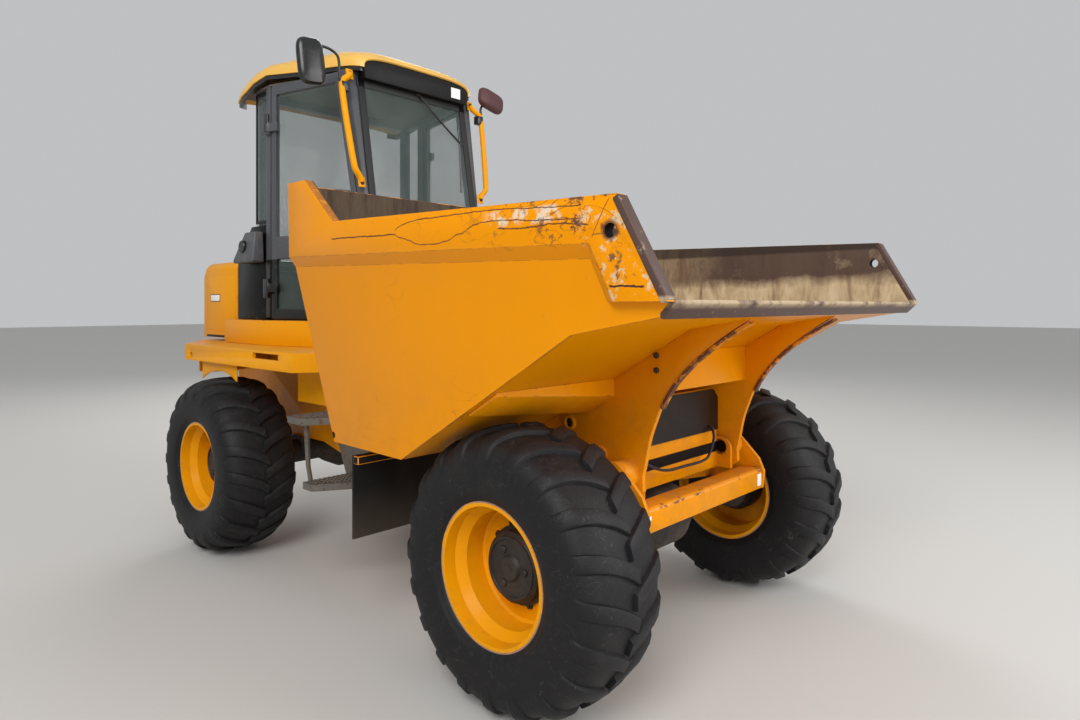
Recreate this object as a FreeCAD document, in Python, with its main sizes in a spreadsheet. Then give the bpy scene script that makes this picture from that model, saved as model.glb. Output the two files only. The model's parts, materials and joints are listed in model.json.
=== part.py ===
import FreeCAD, Part
import math
import os
import re

import Sketcher

# Articulated forward-tip site dumper with a cab over the rear chassis.
# Millimetres. X points ahead, Y to the left, Z up; the ground is Z = 0.
# Every sub-part is drawn with X = 0 above the front axle, and its Placement then
# moves it so that the origin lies under the middle of the whole machine.

# Driving sizes: alias, value, what it is
SIZES = [
    ("front_reach", 915, "lip of the skip ahead of the front axle"),
    ("rear_reach", 4000, "tail of the deck behind the front axle"),
    ("wheelbase", 2862, "front axle to rear axle"),
    ("track_half", 945, "machine centre to the middle of a tyre"),
    ("tyre_radius", 585, "ground to the axle, out to the lug tips"),
    ("tyre_width", 500, "widest part of a tyre"),
    ("lug_height", 32, "lug tip above the casing"),
    ("lug_count", 20, "lugs on each half of a tread"),
    ("lug_width", 40, "lug across its tip"),
    ("bead_radius", 284, "seat of the tyre on its rim"),
    ("rim_flange", 299, "radius of the rim's flange"),
    ("rim_half", 212, "half width of the rim over its flanges"),
    ("rim_wall", 9, "rim and disc plate"),
    ("rim_well", 250, "outer radius of the rim's drop centre"),
    ("disc_offset", 22, "tyre middle to the disc's outer face"),
    ("hub_radius", 152, "planetary hub"),
    ("hub_face", 88, "tyre middle to the hub's outer face"),
    ("hub_root", 105, "tyre middle to the hub's inner end"),
    ("seat_gap", 0.3, "clearance where one piece seats on another"),
    ("run_gap", 0.5, "radial clearance of a pin in its bore"),
    ("axle_tube", 82, "radius of an axle tube"),
    ("diff_radius", 165, "radius of an axle's gear housing"),
    ("skip_half", 1240, "machine centre to the outside of the skip's wall"),
    ("skip_wall", 10, "skip plate"),
    ("rim_band", 37, "rim band outside the skip's wall, and the fold of its lip"),
    ("belly_height", 995, "ground to the lowest point of the skip"),
    ("belly_back", 470, "lowest point of the skip behind the front axle"),
    ("heel_height", 1003, "ground to the foot of the skip's back wall"),
    ("heel_back", 1010, "foot of the back wall behind the front axle"),
    ("knee_ahead", 499, "bend of the skip's floor ahead of the front axle"),
    ("knee_height", 1566, "ground to that bend"),
    ("lip_height", 1633, "ground to the underside of the lip"),
    ("lip_back", 45, "underside of the lip back from its tip"),
    ("rim_front", 725, "front top corner of the rim ahead of the front axle"),
    ("rim_height", 2026, "ground to the rim at the front"),
    ("notch_back", 963, "foot of the rim's step behind the front axle"),
    ("notch_height", 2070, "ground to the rim at the step"),
    ("horn_back", 1227, "top of the rim's step behind the front axle"),
    ("back_top", 1396, "top of the back wall behind the front axle"),
    ("back_height", 2300, "ground to the top of the back wall"),
    ("back_bend", 1385, "bend of the back wall behind the front axle"),
    ("back_bend_height", 1868, "ground to that bend"),
    ("rib_outer", 455, "machine centre to the outside of a skip rib"),
    ("rib_thick", 25, "skip rib plate"),
    ("tip_ahead", 165, "skip pivot ahead of the front axle"),
    ("tip_height", 900, "ground to the skip pivot"),
    ("tip_pin", 32, "radius of the skip pivot pins"),
    ("steer_back", 1400, "steering pivot behind the front axle"),
    ("steer_pin", 40, "radius of the steering pivot pin"),
    ("frame_outer", 560, "machine centre to the outside of the front side plates"),
    ("frame_plate", 20, "front side plate"),
    ("eye_radius", 24, "tie-down eye"),
    ("bar_front", 343, "front of the crossbar ahead of the front axle"),
    ("bar_depth", 110, "crossbar front to back"),
    ("bar_bottom", 680, "ground to the underside of the crossbar"),
    ("bar_height", 108, "crossbar top to bottom"),
    ("deck_half", 1050, "machine centre to the outside of the side rails"),
    ("deck_top", 1385, "ground to the top of the deck"),
    ("deck_plate", 10, "deck plate"),
    ("rail_thick", 22, "side rail plate"),
    ("rail_depth", 112, "side rail top to bottom"),
    ("body_half", 750, "machine centre to the side of the cab's plinth"),
    ("plinth_top", 1560, "ground to the top of the plinth"),
    ("beam_outer", 425, "machine centre to the outside of the rear frame beams"),
    ("beam_thick", 25, "rear frame beam plate"),
    ("cab_front_half", 490, "machine centre to the outside of a front pillar"),
    ("cab_mid_half", 700, "machine centre to the outside of a middle pillar"),
    ("cab_front_low", 1735, "foot of the windscreen behind the front axle"),
    ("cab_front_high", 2035, "head of the windscreen behind the front axle"),
    ("cab_mid", 2750, "middle pillar behind the front axle"),
    ("cab_back", 3040, "back of the cab's glass behind the front axle"),
    ("cab_low_back", 3262, "back of the cab's lower panels behind the front axle"),
    ("cab_belt", 1980, "ground to the top of the cab's lower panels"),
    ("cab_top", 3225, "ground to the top of the pillars"),
    ("roof_rise", 120, "roof above the pillars"),
    ("head_corner", 50, "rounded corners of a mirror's head"),
    ("pillar", 60, "pillar section"),
    ("glass", 6, "window glass"),
    ("door_thick", 34, "cab door"),
    ("bonnet_half", 690, "machine centre to the side of the bonnet"),
    ("bonnet_back", 3905, "back of the bonnet behind the front axle"),
    ("bonnet_top", 2005, "ground to the top of the bonnet"),
    ("bonnet_foot", 1412, "ground to the foot of the bonnet"),
    ("bonnet_wall", 8, "bonnet plate"),
    ("tread_low", 680, "ground to the lower tread"),
    ("step_rise", 350, "one tread to the next"),
    ("tread_outer", 1085, "machine centre to the outside of the treads"),
    ("tread_thick", 38, "tread top to bottom"),
    ("tip_ram_back", 1000, "foot of the tipping ram behind the front axle"),
    ("tip_ram_height", 620, "ground to the foot of the tipping ram"),
    ("tip_eye_back", 290, "eye of the tipping ram behind the front axle"),
    ("tip_eye_height", 955, "ground to the eye of the tipping ram"),
    ("ram_bore", 55, "outside radius of a tipping ram barrel"),
    ("rod_radius", 28, "tipping ram rod"),
    ("steer_ram_side", 320, "machine centre to the steering ram"),
    ("steer_ram_back", 1750, "foot of the steering ram behind the front axle"),
    ("steer_eye_back", 1080, "eye of the steering ram behind the front axle"),
    ("steer_ram_height", 700, "ground to the steering ram"),
]

doc = FreeCAD.newDocument("SiteDumper")
sheet = doc.addObject("Spreadsheet::Sheet", "Sizes")
for row, (alias, size, note) in enumerate(SIZES, 1):
    sheet.set(f"A{row}", note)
    sheet.set(f"B{row}", str(size))
    sheet.setAlias(f"B{row}", alias)
doc.recompute()

ALIASES = {alias for alias, size, note in SIZES}
MIDDLE = "(rear_reach - front_reach) / 2"
PLANES = {"XY": "XY_Plane", "XZ": "XZ_Plane", "YZ": "YZ_Plane"}
nodes = {}


def value(text):
    """The number that an expression in the sheet's words comes to."""
    return float(sheet.evalExpression(str(text)))


def bind(item, **sizes):
    """Ties properties of an item to expressions; __ in a name stands for a dot."""
    for name, text in sizes.items():
        words = re.sub(r"[a-z]\w*", lambda word: f"Sizes.{word[0]}" if word[0] in ALIASES else word[0], str(text))
        item.setExpression(name.replace("__", "."), words)
    return item


def loop(sketch, corners):
    """A closed outline of lines and arcs. A corner is (across, up), and one with
    (across, up, radius, side) starts an arc whose centre is on that side of travel."""
    spots = [FreeCAD.Vector(value(corner[0]), value(corner[1]), 0) for corner in corners]
    first = sketch.GeometryCount
    ends = []
    for i, corner in enumerate(corners):
        start, finish = spots[i], spots[(i + 1) % len(corners)]
        if len(corner) == 2:
            sketch.addGeometry(Part.LineSegment(start, finish), False)
            ends.append((1, 2))
            continue
        chord = finish - start
        side = FreeCAD.Vector(-chord.y, chord.x, 0).normalize()
        depth = math.sqrt(max(value(corner[2]) ** 2 - chord.Length ** 2 / 4, 0.0))
        left = corner[3] == "left"
        centre = (start + finish) / 2 + side * (depth if left else -depth)
        begin, stop = (start, finish) if left else (finish, start)
        circle = Part.Circle(centre, FreeCAD.Vector(0, 0, 1), value(corner[2]))
        arc = Part.ArcOfCircle(circle, math.atan2(begin.y - centre.y, begin.x - centre.x),
                               math.atan2(stop.y - centre.y, stop.x - centre.x))
        sketch.addGeometry(arc, False)
        ends.append((1, 2) if left else (2, 1))
    for i, corner in enumerate(corners):
        after = (i + 1) % len(corners)
        sketch.addConstraint(Sketcher.Constraint("Coincident", first + i, ends[i][1],
                                                 first + after, ends[after][0]))
        for kind, place, text in (("DistanceX", spots[i].x, corner[0]), ("DistanceY", spots[i].y, corner[1])):
            number = sketch.addConstraint(
                Sketcher.Constraint(kind, -1, 1, first + i, ends[i][0], place))
            bind(sketch, **{f"Constraints[{number}]": text})
        if len(corner) > 2:
            number = sketch.addConstraint(Sketcher.Constraint("Radius", first + i, value(corner[2])))
            bind(sketch, **{f"Constraints[{number}]": corner[2]})


def hole(sketch, across, up, radius):
    """A round hole in an outline."""
    centre = FreeCAD.Vector(value(across), value(up), 0)
    circle = sketch.addGeometry(Part.Circle(centre, FreeCAD.Vector(0, 0, 1), value(radius)), False)
    for kind, place, text in (("DistanceX", centre.x, across), ("DistanceY", centre.y, up)):
        number = sketch.addConstraint(Sketcher.Constraint(kind, -1, 1, circle, 3, place))
        bind(sketch, **{f"Constraints[{number}]": text})
    number = sketch.addConstraint(Sketcher.Constraint("Radius", circle, value(radius)))
    bind(sketch, **{f"Constraints[{number}]": radius})


def outline(body, plane, corners, offset="0", holes=(), windows=()):
    """A sketch on one of the body's own planes, moved along that plane's axis."""
    sketch = body.newObject("Sketcher::SketchObject", body.Name + "_outline")
    origin = [item for item in body.Origin.OriginFeatures if item.Role == PLANES[plane]][0]
    sketch.AttachmentSupport = [(origin, "")]
    sketch.MapMode = "FlatFace"
    bind(sketch, AttachmentOffset__Base__z=f"-({offset})" if plane == "XZ" else offset)
    loop(sketch, corners)
    for corners_in in windows:
        loop(sketch, corners_in)
    for across, up, radius in holes:
        hole(sketch, across, up, radius)
    return sketch


def prism(name, plane, corners, start, finish, holes=(), windows=()):
    """A plate or block: an outline padded from start to finish along its plane's axis."""
    body = doc.addObject("PartDesign::Body", name)
    sketch = outline(body, plane, corners, finish if plane == "XZ" else start, holes, windows)
    pad = body.newObject("PartDesign::Pad", name + "_pad")
    pad.Profile = sketch
    bind(pad, Length=f"({finish}) - ({start})")
    return body


def turned(name, corners, along="H_Axis", plane="YZ"):
    """A round piece: an outline turned about its sketch's own axis."""
    body = doc.addObject("PartDesign::Body", name)
    sketch = outline(body, plane, corners)
    turn = body.newObject("PartDesign::Revolution", name + "_turn")
    turn.Profile = sketch
    turn.ReferenceAxis = (sketch, [along])
    turn.Angle = 360
    return body


def tapered(name, plane, sections):
    """A solid between outlines on parallel planes: sections are (offset, corners)."""
    body = doc.addObject("PartDesign::Body", name)
    sketches = [outline(body, plane, corners, offset) for offset, corners in sections]
    loft = body.newObject("PartDesign::AdditiveLoft", name + "_loft")
    loft.Profile = sketches[0]
    loft.Sections = sketches[1:]
    loft.Ruled = True
    return body


def block(name, low, high):
    """A box between two corners, each three expressions."""
    item = doc.addObject("Part::Box", name)
    sizes = zip(("Length", "Width", "Height"), ("x", "y", "z"), low, high)
    for prop, axis, start, finish in sizes:
        bind(item, **{prop: f"({finish}) - ({start})", f"Placement__Base__{axis}": start})
    return item


def rod(name, radius, start, length, along="Y", bore=None):
    """A round bar, or a tube with a bore, from a point along an axis."""
    turns = {"X": FreeCAD.Rotation(FreeCAD.Vector(0, 1, 0), 90),
             "Y": FreeCAD.Rotation(FreeCAD.Vector(1, 0, 0), -90),
             "Z": FreeCAD.Rotation()}
    bars = []
    for radius_used in (radius, bore):
        if radius_used is None:
            continue
        bar = doc.addObject("Part::Cylinder", name if bore is None else name + "_round")
        bar.Placement.Rotation = turns[along]
        bind(bar, Radius=radius_used, Height=length)
        for axis, text in zip("xyz", start):
            bind(bar, **{f"Placement__Base__{axis}": text})
        bars.append(bar)
    return bars[0] if bore is None else cut(name, bars[0], bars[1])


def fused(name, *pieces):
    item = doc.addObject("Part::MultiFuse", name)
    item.Shapes = list(pieces)
    item.Refine = True
    return item


def cut(name, base, *tools):
    item = doc.addObject("Part::Cut", name)
    item.Base = base
    item.Tool = tools[0] if len(tools) == 1 else fused(name + "_tools", *tools)
    item.Refine = True
    return item


def shared(name, *pieces):
    """What two pieces have in common."""
    item = doc.addObject("Part::MultiCommon", name)
    item.Shapes = list(pieces)
    item.Refine = True
    return item


def group(name, *pieces):
    """Solids of one node that don't touch."""
    item = doc.addObject("Part::Compound", name)
    item.Links = list(pieces)
    return item


def mirrored(piece):
    """The same piece on the other side of the machine."""
    item = doc.addObject("Part::Mirroring", piece.Name + "_other")
    item.Source = piece
    item.Normal = FreeCAD.Vector(0, 1, 0)
    return item


def node(item, ahead="0", side="0", up="0"):
    """Marks an item as a piece of the machine and moves it to its place."""
    bind(item, Placement__Base__x=f"{MIDDLE} + {ahead}", Placement__Base__y=side, Placement__Base__z=up)
    nodes[item.Label] = item
    return item


# Wheels: a lugged tyre, a dished rim and a planetary hub, the same at each corner

def tyre_shape():
    """A tyre about the Y axis: chevron lugs in two staggered halves on one closed shell."""
    lugs = int(value("lug_count"))
    pitch = 2 * math.pi / lugs
    width = value("lug_width") / 2 / value("tyre_radius")
    tip = value("tyre_radius") / math.cos(width)
    crown = value("tyre_radius - lug_height")
    half = value("tyre_width / 2")
    bead = value("bead_radius + seat_gap") / math.cos(pitch / 4)
    # from the middle out to the shoulder: (across, casing radius, lug radius, lag in pitches)
    stations = [(0, crown, tip, 0.0), (half - 62, crown, tip - 4, 0.50), (half - 12, crown - 46, crown - 26, 0.66)]
    # from the shoulder in to the bead: (across, radius)
    wall = [(half, bead + 118), (value("rim_half - rim_wall - seat_gap"), bead + 16),
            (value("rim_half - rim_wall - seat_gap"), bead)]

    def spot(across, radius, turn):
        return FreeCAD.Vector(radius * math.sin(turn), across, -radius * math.cos(turn))

    faces = []

    def face(*corners):
        """A flat-sided patch as a fan of triangles."""
        for near, far in zip(corners[1:], corners[2:]):
            faces.append(Part.Face(Part.makePolygon([corners[0], near, far, corners[0]])))

    def edges(side, lug, station):
        """The two sides of a lug at a station, at its root and at its tip."""
        across, root, top, lag = stations[station]
        turn = (lug + (0.5 if side < 0 else 0) + lag) * pitch
        return [spot(side * across, radius, turn + reach * width)
                for radius, reach in ((root, -1.3), (top, -1), (top, 1), (root, 1.3))]

    beads = {}
    for side in (1, -1):
        for lug in range(lugs):
            for station in (0, 1):
                here, out = edges(side, lug, station), edges(side, lug, station + 1)
                after, out_after = edges(side, lug + 1, station), edges(side, lug + 1, station + 1)
                for i in range(3):
                    face(here[i], here[i + 1], out[i + 1], out[i])
                if station:
                    face(here[3], after[0], out_after[0], out[3])
                    continue
                other = edges(-side, lug if side > 0 else lug + 1, 0)
                face(out[3], here[3], other[0], other[3], after[0], out_after[0])
                face(*here)
            end, after_end = edges(side, lug, 2), edges(side, lug + 1, 2)
            face(*end)
            lag = stations[2][3]
            turns = [(lug + (0.5 if side < 0 else 0) + lag + shift) * pitch for shift in (-0.25, 0.25, 0.75)]
            rings = [[end[0], end[3], after_end[0]]] + [
                [spot(side * across, radius, turn) for turn in turns] for across, radius in wall]
            for outer, inner in zip(rings, rings[1:]):
                for i in (0, 1):
                    face(outer[i], outer[i + 1], inner[i + 1], inner[i])
            beads[side, lug] = rings[-1]
    for lug in range(lugs):
        near, far = beads[1, lug], beads[-1, lug]
        face(near[1], near[2], far[1], far[0])
        face(near[2], beads[1, (lug + 1) % lugs][1], far[2], far[1])
    tyre = Part.Solid(Part.Shell(faces))
    if tyre.Volume < 0:
        tyre.reverse()
    return tyre


RIM = [
    # (across from the tyre's middle, radius)
    ("rim_half", "rim_flange"), ("rim_half - rim_wall", "rim_flange"),
    ("rim_half - rim_wall", "bead_radius"), ("rim_half - 60", "bead_radius - 4"),
    ("rim_half - 100", "rim_well"), ("0 - (rim_half - 100)", "rim_well"),
    ("0 - (rim_half - 60)", "bead_radius - 4"), ("0 - (rim_half - rim_wall)", "bead_radius"),
    ("0 - (rim_half - rim_wall)", "rim_flange"), ("0 - rim_half", "rim_flange"),
    ("0 - rim_half", "bead_radius - rim_wall"), ("0 - (rim_half - 56)", "bead_radius - 4 - rim_wall"),
    ("0 - (rim_half - 96)", "rim_well - rim_wall"),
    ("disc_offset - 2 * rim_wall", "rim_well - rim_wall"),
    ("disc_offset - rim_wall", "hub_radius + 20"), ("disc_offset - rim_wall", "70"),
    ("disc_offset", "70"), ("disc_offset", "hub_radius + 24"),
    ("disc_offset - rim_wall", "rim_well - rim_wall - 12"),
    ("disc_offset", "rim_well - rim_wall"),
    ("rim_half - 96", "rim_well - rim_wall"), ("rim_half - 56", "bead_radius - 4 - rim_wall"),
    ("rim_half", "bead_radius - rim_wall"),
]
HUB = [
    ("0 - hub_root", "0"), ("hub_face + 14", "0"), ("hub_face + 14", "46"), ("hub_face", "56"),
    ("hub_face", "hub_radius - 22"), ("hub_face - 12", "hub_radius - 6"), ("disc_offset + 22", "hub_radius - 4"),
    ("disc_offset + 18", "hub_radius + 12"), ("disc_offset + seat_gap", "hub_radius + 12"),
    ("disc_offset + seat_gap", "70 - seat_gap"), ("disc_offset - rim_wall - seat_gap", "70 - seat_gap"),
    ("disc_offset - rim_wall - seat_gap", "hub_radius"), ("0 - hub_root + 30", "hub_radius"),
    ("0 - hub_root", "hub_radius - 20"),
]
TYRE = tyre_shape()
CORNERS = [
    # (name, ahead of the front axle, side)
    ("front_right", "0", -1), ("front_left", "0", 1), ("rear_right", "0 - wheelbase", -1),
    ("rear_left", "0 - wheelbase", 1),
]
for corner, ahead, side in CORNERS:
    out = FreeCAD.Rotation(FreeCAD.Vector(0, 0, 1), 0 if side > 0 else 180)
    across = f"{side} * track_half"
    tyre = doc.addObject("Part::Feature", f"tyre_{corner}")
    tyre.Shape = TYRE
    node(tyre, ahead, across, "tyre_radius")
    for piece, profile in (("rim", RIM), ("hub", HUB)):
        part = turned(f"{piece}_{corner}", profile)
        part.Placement.Rotation = out
        node(part, ahead, across, "tyre_radius")


# Axles: tubes with a gear housing in the middle and flanges outside

AXLE = [
    # (across from the machine's middle, radius), one side
    ("0", "0"), ("track_half - hub_root - run_gap", "0"), ("track_half - hub_root - run_gap", "118"),
    ("track_half - hub_root - 45", "125"), ("track_half - hub_root - 60", "axle_tube + 8"),
    ("260", "axle_tube"), ("215", "axle_tube + 30"), ("100", "diff_radius"), ("0", "diff_radius"),
]
SADDLE_TOP = "tyre_radius + axle_tube + 28"
for name, ahead, toward in (("front_axle", "0", -1), ("rear_axle", "0 - wheelbase", 1)):
    half = turned(name + "_half", AXLE)
    half_up = block(name + "_saddle", ("0 - 80", "frame_outer - 70", "0"),
                    ("80", "frame_outer", f"{SADDLE_TOP} - tyre_radius"))
    if toward > 0:
        half_up = block(name + "_saddle", ("0 - 80", "beam_outer - 60", "0"),
                        ("80", "beam_outer + 20", f"{SADDLE_TOP} - tyre_radius"))
    nose = rod(name + "_nose", "78", ("0 - 300" if toward < 0 else "0", "0", "0"), "300", "X")
    flange = rod(name + "_flange", "62", ("0 - 330" if toward < 0 else "300", "0", "0"), "30", "X")
    node(fused(name, half, mirrored(half), half_up, mirrored(half_up), nose, flange),
         ahead, "0", "tyre_radius")


# Skip: a folded trough with a rim band outside its walls

BELLY_RISE = "(knee_height - belly_height) / (knee_ahead + belly_back)"
FOOT = ("0 - heel_back", "heel_height")
BELLY = ("0 - belly_back", "belly_height")
KNEE = ("knee_ahead", "knee_height")
LIP = ("front_reach - lip_back", "lip_height")
TIP = ("front_reach", "lip_height + rim_band + skip_wall")
RIM_FRONT = ("rim_front", "rim_height")
NOTCH = ("0 - notch_back", "notch_height")
HORN = ("0 - horn_back", "back_height")
BACK_TOP = ("0 - back_top", "back_height")
BACK_BEND = ("0 - back_bend", "back_bend_height")
BAND_BACK = ("0 - back_bend", "back_bend_height + 50")
BAND_FRONT = ("rim_front - 114", "rim_height - 152")
POST_FOOT = ("rim_front - 15", "lip_height + rim_band + skip_wall")

RIM_HALF = "skip_half + rim_band"
TROUGH = [FOOT, BELLY, KNEE, LIP, TIP, RIM_FRONT, NOTCH, HORN, BACK_TOP, BACK_BEND]
FLOOR_HALF = "skip_half - skip_wall - seat_gap"
trough = prism("skip_block", "XZ", TROUGH, f"0 - ({FLOOR_HALF})", FLOOR_HALF)
wall = prism("skip_side", "XZ", TROUGH, "skip_half - skip_wall", "skip_half")
hollow = prism("skip_hollow", "XZ", [
    ("0 - heel_back + skip_wall", "heel_height + skip_wall"), ("0 - belly_back - 3", "belly_height + skip_wall"),
    ("knee_ahead - 3", "knee_height + skip_wall"), TIP, ("front_reach + 60", "lip_height + 120"),
    ("front_reach + 60", "back_height + 60"), ("0 - back_top + skip_wall", "back_height + 60"),
    ("0 - back_top + skip_wall", "back_height"), ("0 - back_bend + skip_wall", "back_bend_height")],
    "0 - skip_half", "skip_half")
band = prism("skip_band", "XZ", [BAND_BACK, BAND_FRONT, POST_FOOT, TIP, RIM_FRONT, NOTCH, HORN, BACK_TOP],
             "skip_half", RIM_HALF,
             holes=[("rim_front - 28", "rim_height - 116", "eye_radius")])
eye = rod("skip_eye", "eye_radius", ("rim_front - 28", "skip_half - 20", "rim_height - 116"), "60")


CREASE = "50"
THIN = "1"


def lean_in(name, near, far, across, up):
    """The fold under the rim band between two of its corners: deep at the wall, thin at the band's face.
    Its lower edge is drawn in by (across, up) at the wall."""
    def strip(share):
        return [near, far, (f"{far[0]} - ({across}) * {share}", f"{far[1]} - ({up}) * {share}"),
                (f"{near[0]} - ({across}) * {share}", f"{near[1]} - ({up}) * {share}")]
    return tapered(name, "XZ", [(RIM_HALF, strip(f"{THIN} / {CREASE}")), ("skip_half", strip("1"))])


crease = lean_in("skip_crease", BAND_BACK, BAND_FRONT, "0", CREASE)
fold = lean_in("skip_fold", BAND_FRONT, POST_FOOT, CREASE, "0")
node(cut("skip_floor", trough, hollow))
near_wall = cut("near_skip_side", fused("skip_side_solid", wall, band, crease, fold), eye)
node(group("skip_sides", near_wall, mirrored(near_wall)))

# Ribs under the skip: two curved plates that carry it on its pivots

RIB = [
    ("800", "knee_height + (800 - knee_ahead) * (lip_height - knee_height) / (front_reach - lip_back - knee_ahead)"),
    KNEE, BELLY, ("0 - belly_back - 290", "belly_height + 290 * (heel_height - belly_height) / (heel_back - belly_back)"),
    ("0 - belly_back - 240", "belly_height - 40"), ("0 - tip_eye_back - 110", "tip_eye_height - 88"),
    ("tip_ahead - 45", "tip_height - 104", "115", "left"), ("tip_ahead + 92", "tip_height - 68"),
    ("tip_ahead + 88", "tip_height", "1500", "right"),
]
rib = prism("skip_rib", "XZ", RIB, "rib_outer - rib_thick", "rib_outer",
            holes=[("tip_ahead", "tip_height", "tip_pin + run_gap")])
boss = rod("skip_boss", "68", ("tip_ahead", "rib_outer", "tip_height"),
           "frame_outer - frame_plate - rib_outer - 6", bore="tip_pin + run_gap")
RIB_INNER = "rib_outer - rib_thick - seat_gap"
member = prism("skip_member", "XZ", [
    ("tip_ahead + 28", "tip_height + 362"), ("tip_ahead + 140", "tip_height + 372"),
    ("tip_ahead + 140", f"belly_height + (tip_ahead + 140 + belly_back) * {BELLY_RISE}"),
    ("tip_ahead + 28", f"belly_height + (tip_ahead + 28 + belly_back) * {BELLY_RISE}")],
    f"0 - ({RIB_INNER})", RIB_INNER)


def under(ahead, drop="0"):
    """A point below the sloping belly."""
    return (ahead, f"belly_height + ({ahead} + belly_back) * {BELLY_RISE} - ({drop})")


outrigger = tapered("skip_outrigger", "XZ", [
    ("skip_half - skip_wall - 20", [under("0 - 60", "14"), under("100", "14"), under("100"), under("0 - 60")]),
    ("rib_outer + seat_gap", [under("0 - 60", "82"), under("100", "82"), under("100"), under("0 - 60")])])
ear = prism("skip_ear", "XZ", [
    under("0 - tip_eye_back + 85"), under("0 - tip_eye_back - 75"),
    ("0 - tip_eye_back - 48", "tip_eye_height - 20"), ("0 - tip_eye_back - 20", "tip_eye_height - 46"),
    ("0 - tip_eye_back + 20", "tip_eye_height - 46"), ("0 - tip_eye_back + 48", "tip_eye_height - 20")],
    "52", "72", holes=[("0 - tip_eye_back", "tip_eye_height", "25")])
near_rib = fused("near_rib", rib, boss)
node(group("skip_ribs", near_rib, mirrored(near_rib)))
node(group("skip_braces", outrigger, mirrored(outrigger), ear, mirrored(ear), member))


# Front chassis

SIDE_PLATE = [
    ("bar_front", "bar_bottom"), ("bar_front + 10", "bar_bottom + 90"), ("bar_front - 20", "bar_bottom + 158"),
    ("tip_ahead + 35", "tip_height + 62"), ("tip_ahead", "tip_height + 72"), ("tip_ahead - 80", "tip_height + 56"),
    ("0 - 330", "tip_height + 30"), ("0 - 430", "tip_height - 60"), ("0 - 430", SADDLE_TOP),
    ("bar_front - 100", SADDLE_TOP),
]
side_plate = prism("front_side", "XZ", SIDE_PLATE, "frame_outer - frame_plate", "frame_outer",
                   holes=[("bar_front - 40", "bar_bottom + 85", "eye_radius")])
pin = rod("skip_pin", "tip_pin", ("tip_ahead", "rib_outer - rib_thick - 14", "tip_height"),
          "frame_outer + 12 - (rib_outer - rib_thick - 14)")
pin_head = rod("skip_pin_head", "tip_pin + 16", ("tip_ahead", "frame_outer", "tip_height"), "12")
lug = prism("front_lug", "XZ", [
    ("tip_ahead - 42", "bar_bottom + 110"), ("tip_ahead + 66", "bar_bottom + 110"),
    ("tip_ahead + 66", "tip_height", "67", "left"), ("tip_ahead - 66", "tip_height")],
    "rib_outer - rib_thick - 30", "rib_outer - rib_thick - 10",
    holes=[("tip_ahead", "tip_height", "tip_pin + 10")])
cross = prism("front_cross", "YZ", [
    ("0 - (frame_outer - frame_plate)", SADDLE_TOP), ("frame_outer - frame_plate", SADDLE_TOP),
    ("frame_outer - frame_plate", "tip_height - 50"), ("110", "tip_height - 50"), ("110", "tip_height - 95"),
    ("0 - 110", "tip_height - 95"), ("0 - 110", "tip_height - 50"),
    ("0 - (frame_outer - frame_plate)", "tip_height - 50")],
    "0 - 420", "0 - 396")
tower = prism("front_tower", "YZ", [
    ("0 - (rib_outer - rib_thick - 30)", "bar_bottom + 110"), ("rib_outer - rib_thick - 30", "bar_bottom + 110"),
    ("rib_outer - rib_thick - 30", "tip_height + 280"), ("rib_outer - rib_thick - 70", "tip_height + 322"),
    ("0 - (rib_outer - rib_thick - 70)", "tip_height + 322"), ("0 - (rib_outer - rib_thick - 30)", "tip_height + 280")],
    "tip_ahead - 42", "tip_ahead - 18")
spine = prism("front_spine", "XZ", [
    ("tip_ahead - 42", "bar_bottom + 110"), ("tip_ahead - 42", "tip_height + 40"), ("0", "tip_height - 20"),
    ("0 - 330", "tip_height - 70"), ("0 - 1290", "tip_height - 100"), ("0 - 1290", "531"),
    ("0 - 520", "531"), ("0 - 300", "bar_bottom + 95"), ("0", "bar_bottom + 110")],
    "160", "180")
floor_plate = prism("front_floor", "XY", [
    ("0 - 520", "0 - 160"), ("0 - 520", "160"), ("0 - 1290", "160"), ("0 - 1290", "0 - 160")], "531", "551")
knuckle = rod("front_knuckle", "82", ("0 - steer_back", "0", "531"), "269", "Z", bore="steer_pin + run_gap")
knuckle_web = block("front_knuckle_web", ("0 - 1345", "0 - 60", "531"), ("0 - 1290", "60", "800"))
end_plate = block("front_end", ("0 - 1306", "0 - 180", "531"), ("0 - 1290", "180", "800"))
foot_pin = rod("tip_foot_pin", "25", ("0 - tip_ram_back", "0 - 195", "tip_ram_height"), "390")
axle_tie = prism("front_tie", "YZ", [
    ("180", "tip_height - 165"), ("frame_outer - frame_plate", SADDLE_TOP),
    ("frame_outer - frame_plate", "tip_height - 120"), ("180", "tip_height - 75")], "0 - 30", "30")
steer_ears = prism("steer_eye_ear", "XY", [
    ("0 - steer_eye_back - 60", "180"), ("0 - steer_eye_back + 60", "180"),
    ("0 - steer_eye_back + 45", "steer_ram_side"), ("0 - steer_eye_back + 30", "steer_ram_side + 38"),
    ("0 - steer_eye_back - 30", "steer_ram_side + 38"), ("0 - steer_eye_back - 45", "steer_ram_side")],
    "steer_ram_height + 44", "steer_ram_height + 60", holes=[("0 - steer_eye_back", "steer_ram_side", "21")])
steer_ears_low = prism("steer_eye_ear_low", "XY", [
    ("0 - steer_eye_back - 60", "180"), ("0 - steer_eye_back + 60", "180"),
    ("0 - steer_eye_back + 45", "steer_ram_side"), ("0 - steer_eye_back + 30", "steer_ram_side + 38"),
    ("0 - steer_eye_back - 30", "steer_ram_side + 38"), ("0 - steer_eye_back - 45", "steer_ram_side")],
    "steer_ram_height - 60", "steer_ram_height - 44", holes=[("0 - steer_eye_back", "steer_ram_side", "21")])
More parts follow.
